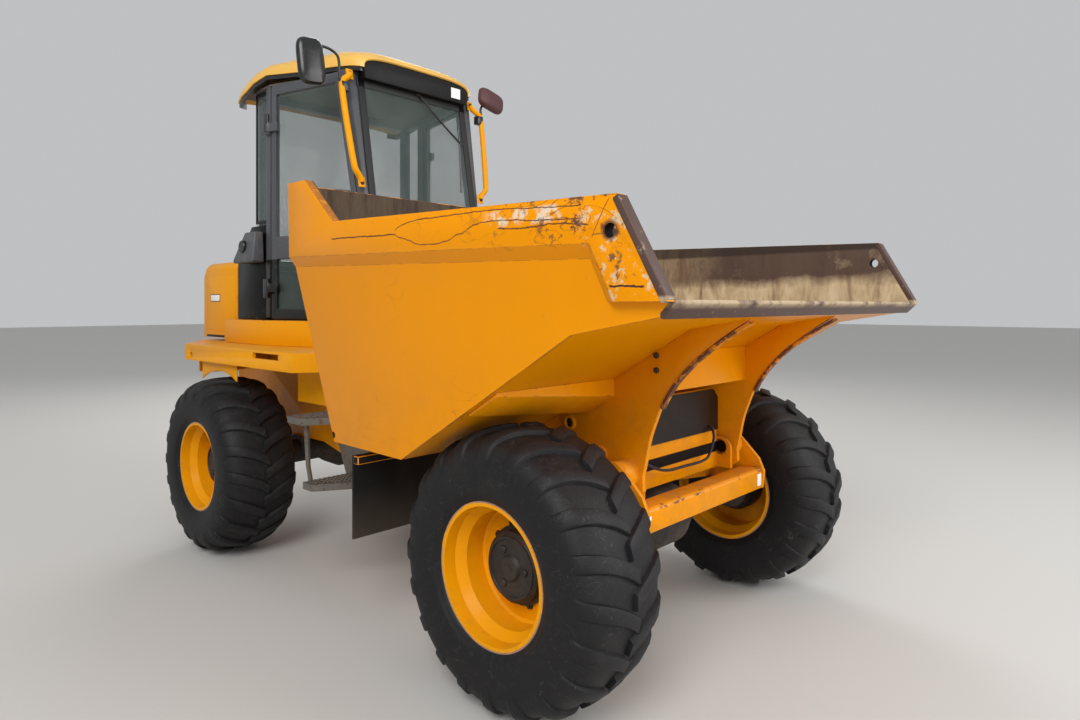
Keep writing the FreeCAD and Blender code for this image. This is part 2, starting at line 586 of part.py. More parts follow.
flap_arm = prism("flap_arm", "XY", [
    ("0 - 300", "frame_outer + seat_gap"), ("0 - 300", "frame_outer + 20"), ("0 - 880", "frame_outer + 30"),
    ("0 - 880", "1190"), ("0 - 920", "1190"), ("0 - 920", "frame_outer + seat_gap")], "900", "940")
node(group("flap_arms", flap_arm, mirrored(flap_arm)))
halves = [side_plate, pin, pin_head, lug, spine, axle_tie]
front = fused("front_frame_solid", *halves, *[mirrored(piece) for piece in halves], cross, tower, floor_plate,
              knuckle_web, end_plate, foot_pin, mirrored(steer_ears), mirrored(steer_ears_low))
sleeve = rod("front_knuckle_bore", "steer_pin + run_gap", ("0 - steer_back", "0", "500"), "340", "Z")
node(cut("front_frame", fused("front_frame_full", front, knuckle), sleeve))

node(prism("front_crossbar", "XZ", [
    ("bar_front - bar_depth", "bar_bottom"), ("bar_front", "bar_bottom"), ("bar_front", "bar_bottom + bar_height - 12"),
    ("bar_front - 12", "bar_bottom + bar_height"), ("bar_front - bar_depth", "bar_bottom + bar_height")],
    "0 - (frame_outer - frame_plate)", "frame_outer - frame_plate"))
node(prism("tower_cover", "YZ", [
    ("0 - 395", "tip_height + 95"), ("395", "tip_height + 95"), ("395", "tip_height + 270"),
    ("345", "tip_height + 318"), ("0 - 345", "tip_height + 318"), ("0 - 395", "tip_height + 270")],
    "tip_ahead - 18", "tip_ahead - 6"))
flap = prism("flap", "YZ", [("610", "535"), ("1190", "535"), ("1190", "940"), ("610", "940")], "0 - 932", "0 - 920")
node(group("mudflaps", flap, mirrored(flap)))


# Rear chassis

beam = prism("rear_beam", "XZ", [
    ("0 - 1640", "640"), ("0 - 1640", "1250"), ("0 - 3860", "1250"), ("0 - 3860", "800"), ("0 - 3400", "760"),
    ("0 - 3250", SADDLE_TOP), ("0 - 2500", SADDLE_TOP), ("0 - 2250", "640")],
    "beam_outer - beam_thick", "beam_outer")
front_wall = block("rear_front_wall", ("0 - 1665", "0 - 235", "501"), ("0 - 1640", "235", "860"))
high_wall = block("rear_high_wall", ("0 - 1665", "0 - (beam_outer - beam_thick)", "860"),
                  ("0 - 1640", "beam_outer - beam_thick", "1250"))
cheek = prism("rear_cheek", "XZ", [
    ("0 - 1640", "501"), ("0 - 1640", "860"), ("0 - 2060", "860"), ("0 - 2060", "640"), ("0 - 1800", "501")],
    "215", "235")
cheek_tie = block("rear_cheek_tie", ("0 - 2060", "0 - (beam_outer - beam_thick)", "660"),
                  ("0 - 2040", "beam_outer - beam_thick", "860"))
EAR_PLAN = [
    ("0 - 1640", "0 - 235"), ("0 - steer_back - 10", "0 - 92"),
    ("0 - steer_back + 60", "0 - 65"), ("0 - steer_back + 88", "0"), ("0 - steer_back + 60", "65"),
    ("0 - steer_back - 10", "92"), ("0 - 1640", "235")]
ears = [prism(f"rear_ear_{place}", "XY", EAR_PLAN, low, high)
        for place, low, high in (("low", "501", "526"), ("high", "805", "830"))]
steer = rod("steering_pin", "steer_pin", ("0 - steer_back", "0", "491"), "349", "Z")
tail = block("rear_tail", ("15 - rear_reach", "0 - 640", "1120"), ("0 - 3860", "640", "deck_top - deck_plate"))
back_wall = block("rear_back_wall", ("0 - 3860", "0 - (beam_outer - beam_thick)", "800"),
                  ("0 - 3840", "beam_outer - beam_thick", "1250"))
deck_tie = block("rear_tie", ("0 - 1700", "beam_outer", "1180"), ("0 - 1680", "780", "deck_top - deck_plate"))
deck_tie_back = block("rear_tie_back", ("0 - 3330", "beam_outer", "1180"), ("0 - 3310", "960", "deck_top - deck_plate"))
beam_cap = block("rear_cap", ("0 - 3860", "beam_outer - 60", "1250"),
                 ("0 - 1680", "beam_outer", "deck_top - deck_plate"))
steer_lugs = [
    block(f"steer_lug_{place}", ("0 - steer_ram_back - 40", "0 - (beam_outer - beam_thick)", low),
          ("0 - steer_ram_back + 30", "0 - 235", high))
    for place, low, high in (("low", "steer_ram_height - 62", "steer_ram_height - 44"),
                             ("high", "steer_ram_height + 44", "steer_ram_height + 62"))]
steer_foot = rod("steer_foot_pin", "20", ("0 - steer_ram_back", "0 - steer_ram_side", "steer_ram_height - 70"),
                 "140", "Z")
engine_beds = [
    block(f"engine_bed_{place}", (back, "0 - (beam_outer - beam_thick)", "830"),
          (ahead, "beam_outer - beam_thick", "860 - seat_gap"))
    for place, back, ahead in (("back", "0 - 3720", "0 - 3680"), ("ahead", "0 - 3380", "0 - 3340"))]
halves = [beam, cheek, deck_tie, deck_tie_back, beam_cap]
node(fused("rear_frame", *halves, *[mirrored(piece) for piece in halves], front_wall, high_wall, cheek_tie,
           *ears, steer, tail, back_wall, *steer_lugs, steer_foot, *engine_beds))


# Deck: a plate down each side with a folded rail, chamfered to clear the skip on full lock

DECK_FRONT = "0 - steer_back - 40"
DECK_CORNER = "0 - steer_back - 390"
RAIL_BACK = "0 - wheelbase - 490"
deck = prism("deck_plate", "XY", [
    (DECK_FRONT, "beam_outer"), (DECK_CORNER, "deck_half"), (RAIL_BACK, "deck_half"),
    ("0 - rear_reach", "650"), ("0 - rear_reach", "beam_outer - 50"), ("0 - 1680", "beam_outer - 50"),
    ("0 - 1680", "beam_outer")], "deck_top - deck_plate", "deck_top")
rail = prism("side_rail", "XZ", [
    (DECK_CORNER, "deck_top - rail_depth"), (DECK_CORNER, "deck_top"),
    (f"{RAIL_BACK} + 25", "deck_top", "25", "left"), (RAIL_BACK, "deck_top - 25"),
    (RAIL_BACK, "deck_top - rail_depth + 25", "25", "left"), (f"{RAIL_BACK} + 25", "deck_top - rail_depth")],
    "deck_half - rail_thick", "deck_half",
    holes=[(f"{RAIL_BACK} + 109", "deck_top - 75", "eye_radius")],
    windows=[[(f"{DECK_CORNER} - 490", "deck_top - 50"), (f"{DECK_CORNER} - 160", "deck_top - 50"),
              (f"{DECK_CORNER} - 160", "deck_top - 14"), (f"{DECK_CORNER} - 490", "deck_top - 14")]])
nose_rail = prism("nose_rail", "XY", [
    (DECK_CORNER, "deck_half"), (DECK_CORNER, "deck_half - rail_thick"),
    (f"{DECK_FRONT} - rail_thick", "beam_outer"), (DECK_FRONT, "beam_outer")],
    "deck_top - rail_depth", "deck_top")
near_deck = fused("side_deck", deck, rail, nose_rail)
node(group("side_decks", near_deck, mirrored(near_deck)))

# Skirts over the rear wheels, hung under the deck inside its rails

SKIRT_OUTER = "deck_half - rail_thick - 20"
skirt_plate = prism("skirt_plate", "XZ", [
    ("0 - wheelbase - 285", "1000"), ("0 - wheelbase + 362", "1000"), ("0 - wheelbase + 362", "1205"),
    ("0 - wheelbase + 300", "deck_top - deck_plate"), ("0 - wheelbase - 285", "deck_top - deck_plate")],
    f"{SKIRT_OUTER} - 8", SKIRT_OUTER)
skirt = cut("rear_skirt", skirt_plate,
            rod("skirt_arch", "tyre_radius + 45", ("0 - wheelbase", "900", "tyre_radius"), "200"))
node(group("rear_skirts", skirt, mirrored(skirt)))

# Side tanks under the deck, and the steps outside them

TANK_OUTER = "780"
tank = prism("side_tank", "XY", [
    ("0 - steer_back - 320", TANK_OUTER), ("0 - steer_back - 262", "690"),
    ("0 - steer_back - 262", "beam_outer + seat_gap"), ("0 - 2215", "beam_outer + seat_gap"),
    ("0 - 2215", TANK_OUTER)], "1045", "deck_top - deck_plate - seat_gap")
tank_cut = block("side_tank_notch", ("0 - 1702", "0", "1170"), ("0 - 1670", "1000", "deck_top"))
near_tank = cut("near_tank", tank, tank_cut)
node(group("side_tanks", near_tank, mirrored(near_tank)))

STEP_INNER = "800"
TREAD_UNDER = "tread_low - tread_thick"
low_tread = prism("low_tread", "XY", [
    ("0 - 1594", "tread_outer"), ("0 - 1594", STEP_INNER), ("0 - 1330", STEP_INNER), ("0 - 1495", "tread_outer")],
    TREAD_UNDER, "tread_low")
high_tread = prism("high_tread", "XY", [
    ("0 - 1768", "tread_outer"), ("0 - 1768", STEP_INNER), ("0 - 1446", STEP_INNER), ("0 - 1614", "tread_outer")],
    f"{TREAD_UNDER} + step_rise", "tread_low + step_rise")
hanger = prism("step_hanger", "XZ", [
    ("0 - 1594", TREAD_UNDER), ("0 - 1560", TREAD_UNDER), ("0 - 1600", "tread_low + 80"),
    ("0 - 1620", f"{TREAD_UNDER} + step_rise + 10"), ("0 - 1660", f"{TREAD_UNDER} + step_rise + 10"),
    ("0 - 1634", "tread_low + 80")], "tread_outer - 52", "tread_outer - 40")
inner_hanger = prism("inner_hanger", "XZ", [
    ("0 - 1594", TREAD_UNDER), ("0 - 1335", TREAD_UNDER), ("0 - 1335", "tread_low + 20"),
    ("0 - 1446", "tread_low + step_rise"), ("0 - steer_back - 330", "1220"), ("0 - 1768", "1220"),
    ("0 - 1768", f"{TREAD_UNDER} + step_rise")], f"{TANK_OUTER} + seat_gap", STEP_INNER)
near_steps = fused("step_set", low_tread, high_tread, hanger, inner_hanger)
node(group("steps", near_steps, mirrored(near_steps)))

# Plinth of the cab: a folded box, open underneath, whose cheeks run back past the cab


def plan(corners, inset="0"):
    """A closed outline in plan from its left side, front to back, with the sides drawn in."""
    left = [(ahead, f"{side} - ({inset})") for ahead, side in corners]
    return left + [(ahead, f"0 - ({side} - ({inset}))") for ahead, side in reversed(corners)]


PLINTH_FRONT = "0 - cab_front_low + 35"
PLINTH_BACK = "0 - cab_low_back"
plinth = prism("plinth_box", "XY", plan([
    (PLINTH_FRONT, "500"), ("0 - 2700", "body_half"), (PLINTH_BACK, "body_half")]),
    "deck_top + seat_gap", "plinth_top")
plinth_inside = prism("plinth_hollow", "XY", plan([
    (f"{PLINTH_FRONT} - 12", "485"), ("0 - 2700", "body_half - 12"), (f"{PLINTH_BACK} + 12", "body_half - 12")]),
    "deck_top - 10", "plinth_top - 12")
wing = block("plinth_wing", (f"{PLINTH_BACK} - 118", "body_half - 12", "deck_top + seat_gap"),
             (f"{PLINTH_BACK} + 20", "body_half", "plinth_top"))
node(fused("cab_plinth", cut("plinth_shell", plinth, plinth_inside), wing, mirrored(wing)))
node(group("engine", block("engine_block", ("0 - 3760", "0 - 300", "860"), ("0 - 3300", "300", "1640"))))

# Cab frame: rings at the floor and under the roof, and four pairs of posts

MID_SLOPE = "(cab_mid_half - cab_front_half) / (cab_mid - 1880)"
STRETCH = f"sqrt(1 + ({MID_SLOPE}) ^ 2)"
RAKE = "(cab_front_high - cab_front_low) / (cab_top - plinth_top)"
DOOR_SEAT = "door_thick + 6"


def side_at(back):
    """The cab's outer side at a place behind the front axle, ahead of the middle post."""
    return f"cab_front_half + ({back} - 1880) * {MID_SLOPE}"


def cab_plan(front, back, inset):
    return plan([(f"0 - ({front})", side_at(front)), ("0 - cab_mid", "cab_mid_half"), (f"0 - ({back})", "cab_mid_half")],
                inset)


def ring(name, front, back, low, high):
    return prism(name, "XY", cab_plan(front, back, DOOR_SEAT), low, high,
                 windows=[cab_plan(f"{front} + pillar", f"{back} - pillar", f"{DOOR_SEAT} + pillar")])


ring_low = ring("ring_low", "cab_front_low", "cab_low_back - 37", "plinth_top + seat_gap", "plinth_top + 40")
ring_top = ring("ring_top", "cab_front_high", "cab_back - 37", "cab_top - pillar", "cab_top")
rake_band = prism("front_post_side", "XZ", [
    ("0 - cab_front_low", "plinth_top"), ("0 - cab_front_high", "cab_top"),
    ("0 - cab_front_high - pillar", "cab_top"), ("0 - cab_front_low - pillar", "plinth_top")], "300", "700")
post_plan = prism("front_post_plan", "XY", [
    ("0 - cab_front_low + 60", side_at("cab_front_low - 60")),
    ("0 - cab_front_high - 200", side_at("cab_front_high + 200")),
    ("0 - cab_front_high - 200", "cab_front_half - 35"), ("0 - cab_front_low + 60", "cab_front_half - 95")],
    "plinth_top + seat_gap", "cab_top")
front_post = shared("front_post", rake_band, post_plan)
INNER_SIDE = f"cab_mid_half - ({DOOR_SEAT})"
POSTS = [
    # (name, rear face behind the front axle, outer side, foot, head)
    ("mid_post", "cab_mid + pillar", "cab_mid_half", "plinth_top + 20", "cab_top"),
    ("back_post", "cab_back - 37", INNER_SIDE, "cab_belt - 60", "cab_top - 10"),
    ("low_post", "cab_low_back - 37", INNER_SIDE, "plinth_top + 20", "cab_belt"),
]
posts = [front_post] + [
    block(name, (f"0 - ({back})", f"{side} - pillar", low), (f"0 - ({back}) + pillar", side, high))
    for name, back, side, low, high in POSTS]
belt = block("belt_rail", ("0 - cab_low_back + 37", f"{INNER_SIDE} - pillar", "cab_belt - 60"),
             ("0 - cab_mid", INNER_SIDE, "cab_belt"))
belt_back = block("belt_back", ("0 - cab_back + 37", f"0 - ({INNER_SIDE})", "cab_belt - 60"),
                  ("0 - cab_back + 97", INNER_SIDE, "cab_belt"))

# Door hinges stand outside the middle posts: heights of the two, and how far out their pins are
HINGES = ["plinth_top + 200", "cab_top - 335"]
HINGE_OUT = "18"
HINGE_AHEAD = f"0 - cab_mid + {HINGE_OUT} * ({MID_SLOPE}) / {STRETCH}"
HINGE_SIDE = f"cab_mid_half + {HINGE_OUT} / {STRETCH}"
hinges = []
for i, height in enumerate(HINGES):
    hinges.append(block(f"hinge_foot_{i}", ("0 - cab_mid - 40", "cab_mid_half - 4", f"{height} - 16"),
                        ("0 - cab_mid - 6", f"{HINGE_SIDE} + 12", f"{height} - 6")))
    hinges.append(block(f"hinge_plate_{i}", ("0 - cab_mid - 10", "cab_mid_half + 6", f"{height} - 16"),
                        (f"{HINGE_AHEAD} + 12", f"{HINGE_SIDE} + 12", f"{height} - 6")))
    hinges.append(rod(f"hinge_pin_{i}", "7", (HINGE_AHEAD, HINGE_SIDE, f"{height} - 10"), "84", "Z"))
near_side = [*posts, belt, *hinges]
node(fused("cab_frame", ring_low, ring_top, *near_side, *[mirrored(piece) for piece in near_side], belt_back))

# Roof: a shallow dome with a drooping rear edge

roof_side = prism("roof_side", "XZ", [
    ("0 - cab_front_high + 60", "cab_top + seat_gap"), ("0 - cab_front_high + 40", "cab_top + roof_rise - 60"),
    ("0 - cab_front_high - 120", "cab_top + roof_rise"), ("0 - cab_mid - 100", "cab_top + roof_rise"),
    ("0 - cab_back - 60", "cab_top + roof_rise - 60"), ("0 - cab_back - 210", "cab_top - 10"), ("0 - cab_back - 190", "cab_top - 30"),
    ("0 - cab_back - 30", "cab_top + seat_gap")], "0 - 800", "800")
roof_plan = prism("roof_plan", "XY", plan([
    ("0 - cab_front_high + 60", f"{side_at('cab_front_high - 60')} + 25"), ("0 - cab_mid", "cab_mid_half + 50"),
    ("0 - cab_back - 210", "cab_mid_half + 30")]), "cab_top - 60", "cab_top + roof_rise + 40")
node(shared("cab_roof", roof_side, roof_plan))


def raked(name, low, high, half, thick):
    """A sheet that leans back with the front posts, just ahead of them."""
    def at(height, out):
        return (f"0 - cab_front_low - ({height} - plinth_top) * {RAKE} + {out}", height)
    return prism(name, "XZ", [at(low, "seat_gap"), at(high, "seat_gap"), at(high, f"seat_gap + {thick}"),
                              at(low, f"seat_gap + {thick}")], f"0 - ({half})", half)


node(raked("windscreen", "plinth_top + 300", "cab_top - 12", "cab_front_half - 45", "glass"))
quarter = block("quarter_glass", ("0 - cab_back + 10", f"{INNER_SIDE} + seat_gap", "cab_belt + 272"),
                ("0 - cab_mid - pillar - seat_gap", f"{INNER_SIDE} + seat_gap + glass", "cab_top - 10"))
rear_glass = block("rear_glass", ("0 - cab_back + 37 - seat_gap - glass", f"0 - ({INNER_SIDE} - 5)", "cab_belt + 22"),
                   ("0 - cab_back + 37 - seat_gap", f"{INNER_SIDE} - 5", "cab_top - 10"))
node(group("cab_windows", quarter, mirrored(quarter), rear_glass))
side_panel = prism("side_panel", "XZ", [
    ("0 - cab_mid - pillar - seat_gap", "plinth_top + seat_gap"), ("0 - cab_mid - pillar - seat_gap", "cab_belt + 262"),
    ("0 - cab_back", "cab_belt + 262"), ("0 - cab_low_back", "cab_belt + 20"),
    ("0 - cab_low_back", "plinth_top + seat_gap")], f"{INNER_SIDE} + seat_gap", "cab_mid_half")
back_panel = block("back_panel", ("0 - cab_low_back", f"0 - ({INNER_SIDE} + 1)", "plinth_top + seat_gap"),
                   ("0 - cab_low_back + 36", f"{INNER_SIDE} + 1", "cab_belt + 20"))
shelf = block("back_shelf", ("0 - cab_low_back + 20", f"0 - ({INNER_SIDE} + 1)", "cab_belt + seat_gap"),
              ("0 - cab_back + 20", f"{INNER_SIDE} + 1", "cab_belt + 20"))
front_panel = raked("front_panel", "plinth_top + 40 + seat_gap", "plinth_top + 290", "cab_front_half - 50", "20")
node(group("cab_panels", fused("cab_panels_back", side_panel, mirrored(side_panel), back_panel, shelf), front_panel))

# Doors: a frame with a low and a high pane, hung ahead of the middle posts

HANDLE = "cab_belt + 90"
DOOR_FRONT = "66"
DOOR_REAR = "14"
LOW_PANE = ("plinth_top + 80", "cab_belt + 10", "55")
HIGH_PANE = ("cab_belt + 170", "cab_top - 75", "45")


def door_edge(height, inset):
    """The door's raked front edge at a height, measured along the door from its hinge."""
    return (f"(cab_mid - cab_front_low - ({height} - plinth_top) * {RAKE} - {DOOR_FRONT} - ({inset})) * {STRETCH}"
            f" - {HINGE_OUT} * ({MID_SLOPE})")


def door_loop(low, high, inset="0"):
    near = f"{DOOR_REAR} + {inset}"
    return [(near, low), (door_edge(low, inset), low), (door_edge(high, inset), high), (near, high)]


for side, sign in (("left", 1), ("right", -1)):
    # the leaf's two faces across the door, low first
    faces = (f"0 - {HINGE_OUT} - door_thick", f"0 - {HINGE_OUT}") if sign > 0 else (
        HINGE_OUT, f"{HINGE_OUT} + door_thick")
    leaf = prism(f"door_{side}_leaf", "XZ", door_loop("plinth_top + 12", "cab_top - 8"), *faces,
                 windows=[door_loop(*LOW_PANE), door_loop(*HIGH_PANE)])
    pieces = [leaf]
    for i, height in enumerate(HINGES):
        strap = (f"0 - {HINGE_OUT} - 4", "4") if sign > 0 else ("0 - 4", f"{HINGE_OUT} + 4")
        pieces.append(rod(f"door_{side}_knuckle_{i}", "15", ("0", "0", height), "60", "Z"))
        pieces.append(block(f"door_{side}_strap_{i}", ("8", strap[0], height), ("90", strap[1], f"{height} + 60")))
    grip = (f"0 - {HINGE_OUT} - 2", "12") if sign > 0 else ("0 - 12", f"{HINGE_OUT} + 2")
    pieces.append(block(f"door_{side}_handle", (door_edge(HANDLE, "110"), grip[0], f"{HANDLE} - 15"),
                        (door_edge(HANDLE, "45"), grip[1], f"{HANDLE} + 15")))
    bores = [rod(f"door_{side}_bore_{i}", "7 + run_gap", ("0", "0", f"{height} - 5"), "70", "Z")
             for i, height in enumerate(HINGES)]
    door = cut(f"door_{side}", fused(f"door_{side}_solid", *pieces), *bores)
    middle = f"{faces[0]} + door_thick / 2"
    panes = []
    for place, (low, high, inset) in (("low", LOW_PANE), ("high", HIGH_PANE)):
        panes.append(prism(f"door_{side}_{place}_pane", "XZ",
                           door_loop(f"{low} + seat_gap", f"{high} - seat_gap", f"{inset} + seat_gap"),
                           f"{middle} - glass / 2", f"{middle} + glass / 2"))
    for item in (door, group(f"door_{side}_glass", *panes)):
        turn = -sign * math.degrees(math.atan(value(MID_SLOPE)))
        item.Placement.Rotation = FreeCAD.Rotation(FreeCAD.Vector(0, 0, 1), turn)
        node(item, HINGE_AHEAD, f"{sign} * ({HINGE_SIDE})")

# Inside the cab: seat, console and steering wheel


def strut(name, radius, start, finish):
    """A round bar between two points that are given by expressions."""
    near, far = [FreeCAD.Vector(*[value(text) for text in point]) for point in (start, finish)]
    item = doc.addObject("Part::Cylinder", name)
    item.Placement.Rotation = FreeCAD.Rotation(FreeCAD.Vector(0, 0, 1), far - near)
    reach = " + ".join(f"(({b}) - ({a})) ^ 2" for a, b in zip(start, finish))
    bind(item, Radius=radius, Height=f"sqrt({reach})")
    for axis, text in zip("xyz", start):
        bind(item, **{f"Placement__Base__{axis}": text})
    return item


SEAT = "plinth_top + 270"
seat_base = block("seat_base", ("0 - 2700", "0 - 190", "plinth_top + seat_gap"), ("0 - 2320", "190", SEAT))
cushion = block("seat_cushion", ("0 - 2740", "0 - 240", SEAT), ("0 - 2260", "240", f"{SEAT} + 115"))
back_rest = prism("seat_back", "XZ", [
    ("0 - 2740", f"{SEAT} + 110"), ("0 - 2630", f"{SEAT} + 110"), ("0 - 2720", f"{SEAT} + 730"),
    ("0 - 2800", f"{SEAT} + 730")], "0 - 230", "230")
node(fused("seat", seat_base, cushion, back_rest))
WHEEL_AT = ("0 - 2130", "0", "plinth_top + 730")
HUB_FOOT = ("0 - 2060", "0", "plinth_top + 590")
console = prism("console_post", "XZ", [
    ("0 - 1900", "plinth_top + seat_gap"), ("0 - 1975", "plinth_top + 560"), ("0 - 2110", "plinth_top + 620"),
    ("0 - 2170", "plinth_top + 570"),
    ("0 - 2080", "plinth_top + seat_gap")], "0 - 150", "150")
node(fused("console", console, strut("console_column", "26", HUB_FOOT, WHEEL_AT)))
wheel_lean = FreeCAD.Vector(*[value(b) - value(a) for a, b in zip(HUB_FOOT, WHEEL_AT)])
wheel_rim = turned("wheel_rim", [
    ("176", "0"), ("183", "12"), ("197", "12"), ("204", "0"), ("197", "0 - 12"), ("183", "0 - 12")], "V_Axis", "XZ")
spokes = [block(f"wheel_spoke_{i}", ("0 - 185" if i else "0 - 12", "0 - 12" if i else "0 - 185", "0 - 8"),
                ("185" if i else "12", "12" if i else "185", "8")) for i in range(2)]
wheel_hub = rod("wheel_hub", "38", ("0", "0", "seat_gap"), "28", "Z")
steering = fused("steering_wheel", wheel_rim, *spokes, wheel_hub)
steering.Placement.Rotation = FreeCAD.Rotation(FreeCAD.Vector(0, 0, 1), wheel_lean)
node(steering, WHEEL_AT[0], "0", f"{WHEEL_AT[2]} + 9.3")

# Grab rails beside the windscreen, and the mirrors on their heads


def raked_at(height, out="0"):
    """A place ahead of the windscreen's plane at a height."""
    return f"0 - cab_front_low - ({height} - plinth_top) * {RAKE} + {out}"


RAIL_SIDE = "cab_front_half + 55"
RAIL_AHEAD = "15.7"
RAIL_ENDS = ("cab_top - 789", "cab_top - 85")
grab = [strut("grab_bar", "15", (raked_at(RAIL_ENDS[0], RAIL_AHEAD), RAIL_SIDE, RAIL_ENDS[0]),
              (raked_at(RAIL_ENDS[1], RAIL_AHEAD), RAIL_SIDE, RAIL_ENDS[1]))]
for i, height in enumerate(RAIL_ENDS):
    grab.append(rod(f"grab_foot_{i}", "15", (raked_at(height, RAIL_AHEAD), "cab_front_half - 25", height),
                    f"{RAIL_SIDE} - cab_front_half + 25"))
near_grab = fused("near_grab", *grab)
node(group("grab_rails", near_grab, mirrored(near_grab)))
ARM_TOP = "cab_top + roof_rise - 50"
ARM_HEIGHT = "cab_top - 135"
ARM_SIDE = f"{RAIL_SIDE} + 62"
ARM_ROOT = (raked_at(ARM_HEIGHT, RAIL_AHEAD), f"{RAIL_SIDE} + 15.3", ARM_HEIGHT)
ARM_ELBOW = (raked_at(ARM_HEIGHT, RAIL_AHEAD), ARM_SIDE, ARM_HEIGHT)
ARM_BEND = (raked_at(ARM_HEIGHT, RAIL_AHEAD), ARM_SIDE, ARM_TOP)
MIRROR_AHEAD = "0 - cab_front_high + 70"
HEAD_IN, HEAD_OUT = "740", "905"
HEAD_LOW, HEAD_HIGH = "cab_top - 165", "cab_top + 110"
mirror = fused("near_mirror", strut("mirror_root", "9", ARM_ROOT, ARM_ELBOW),
               strut("mirror_post", "9", ARM_ELBOW, ARM_BEND),
               strut("mirror_arm", "9", ARM_BEND, (MIRROR_AHEAD, f"{HEAD_IN} + 30", ARM_TOP)),
               prism("mirror_head", "YZ", [
                   (f"{HEAD_IN} + head_corner", HEAD_LOW), (f"{HEAD_OUT} - head_corner", HEAD_LOW, "head_corner", "left"),
                   (HEAD_OUT, f"{HEAD_LOW} + head_corner"), (HEAD_OUT, f"{HEAD_HIGH} - head_corner", "head_corner", "left"),
                   (f"{HEAD_OUT} - head_corner", HEAD_HIGH), (f"{HEAD_IN} + head_corner", HEAD_HIGH, "head_corner", "left"),
                   (HEAD_IN, f"{HEAD_HIGH} - head_corner"), (HEAD_IN, f"{HEAD_LOW} + head_corner", "head_corner", "left")],
                   f"{MIRROR_AHEAD} - 30", f"{MIRROR_AHEAD} + 20"))
node(group("mirrors", mirror, mirrored(mirror)))

# Air cleaner on the right of the cab's back, and lamps in the tail

pod = prism("pod_body", "XZ", [
    ("0 - 3240", "cab_belt + 15"), ("0 - 3240", "cab_belt + 180"), ("0 - 3165", "cab_belt + 260"),
    ("0 - 2900", "cab_belt + 260"), ("0 - 2820", "cab_belt + 160"), ("0 - 2820", "cab_belt + 15")],
    "cab_mid_half + seat_gap", "cab_mid_half + 100")
pod_cap = rod("pod_cap", "38", ("0 - 3120", "cab_mid_half + 95", "cab_belt + 115"), "32")
node(group("air_cleaner", mirrored(fused("air_cleaner_body", pod, pod_cap))))
lamps = [block(f"tail_lamp_{i}", ("0 - rear_reach", f"{across}", "1190"), ("15 - rear_reach - seat_gap", f"{across} + 110", "1300"))
         for i, across in enumerate(("480", "0 - 590"))]
node(group("tail_lamps", *lamps))

# Bonnet: a hood open in front and below, hinged on two posts, with a grille behind

HOOD_FRONT = "0 - cab_low_back - 33"
HOOD_AXIS = ("0 - cab_low_back - 58", "bonnet_top - 35")
hood_block = prism("hood_block", "XZ", [
    (HOOD_FRONT, "bonnet_foot"), ("0 - bonnet_back", "bonnet_foot"), ("0 - bonnet_back", "bonnet_top - 115"),
    ("0 - bonnet_back + 70", "bonnet_top"), (HOOD_FRONT, "bonnet_top")], "0 - bonnet_half", "bonnet_half")
SHOULDER = "60"
HOOD_SPAN = ("0 - bonnet_back - 10", "0 - cab_low_back")


def hood_section(name, inset):
    """The bonnet across the machine, with rounded shoulders, drawn in by inset."""
    half, top = f"bonnet_half - ({inset})", f"bonnet_top - ({inset})"
    turn = f"{SHOULDER} - ({inset})"
    corner = (f"bonnet_half - {SHOULDER}", f"bonnet_top - {SHOULDER}")
    return prism(name, "YZ", [
        (half, "bonnet_foot - 20"), (half, corner[1], turn, "left"), (corner[0], top),
        (f"0 - ({corner[0]})", top, turn, "left"), (f"0 - ({half})", corner[1]),
        (f"0 - ({half})", "bonnet_foot - 20")], *HOOD_SPAN)


hood_inside = prism("hood_hollow", "XZ", [
    (f"{HOOD_FRONT} + 10", "bonnet_foot - 10"), ("0 - bonnet_back + bonnet_wall", "bonnet_foot - 10"),
    ("0 - bonnet_back + bonnet_wall", "bonnet_top - 117"), ("0 - bonnet_back + 73", "bonnet_top - bonnet_wall"),
    (f"{HOOD_FRONT} + 10", "bonnet_top - bonnet_wall")], "bonnet_wall - bonnet_half", "bonnet_half - bonnet_wall")
GRILLE = ("500", "bonnet_foot + 70", "bonnet_top - 170")
hood_window = block("hood_window", ("0 - bonnet_back - 10", f"0 - {GRILLE[0]}", GRILLE[1]),
                    ("0 - bonnet_back + 30", GRILLE[0], GRILLE[2]))
knuckle_webs = []
knuckle_bores = []
for i, across in enumerate(("610", "0 - 650")):
    knuckle_webs.append(rod(f"hood_knuckle_{i}", "17", (HOOD_AXIS[0], across, HOOD_AXIS[1]), "40"))
    knuckle_webs.append(block(f"hood_web_{i}", (f"{HOOD_AXIS[0]} - 10", across, HOOD_AXIS[1]),
                              (f"{HOOD_AXIS[0]} + 10", f"{across} + 40", "bonnet_top - 4")))
    knuckle_bores.append(rod(f"hood_bore_{i}", "9 + run_gap", (HOOD_AXIS[0], f"{across} - 10", HOOD_AXIS[1]), "60"))
hood = cut("hood_shell", shared("hood_outside", hood_block, hood_section("hood_outer", "0")),
           shared("hood_room", hood_inside, hood_section("hood_inner", "bonnet_wall")), hood_window)
node(cut("bonnet", fused("hood_solid", hood, *knuckle_webs), *knuckle_bores))
slats = [block(f"grille_post_{i}", ("0 - bonnet_back - 4", across, f"{GRILLE[1]} + seat_gap"),
               ("0 - bonnet_back + bonnet_wall", f"{across} + 20", f"{GRILLE[2]} - seat_gap"))
         for i, across in enumerate((f"{GRILLE[0]} - seat_gap - 20", "0 - 10", f"0 - {GRILLE[0]} + seat_gap"))]
slat_count = 9
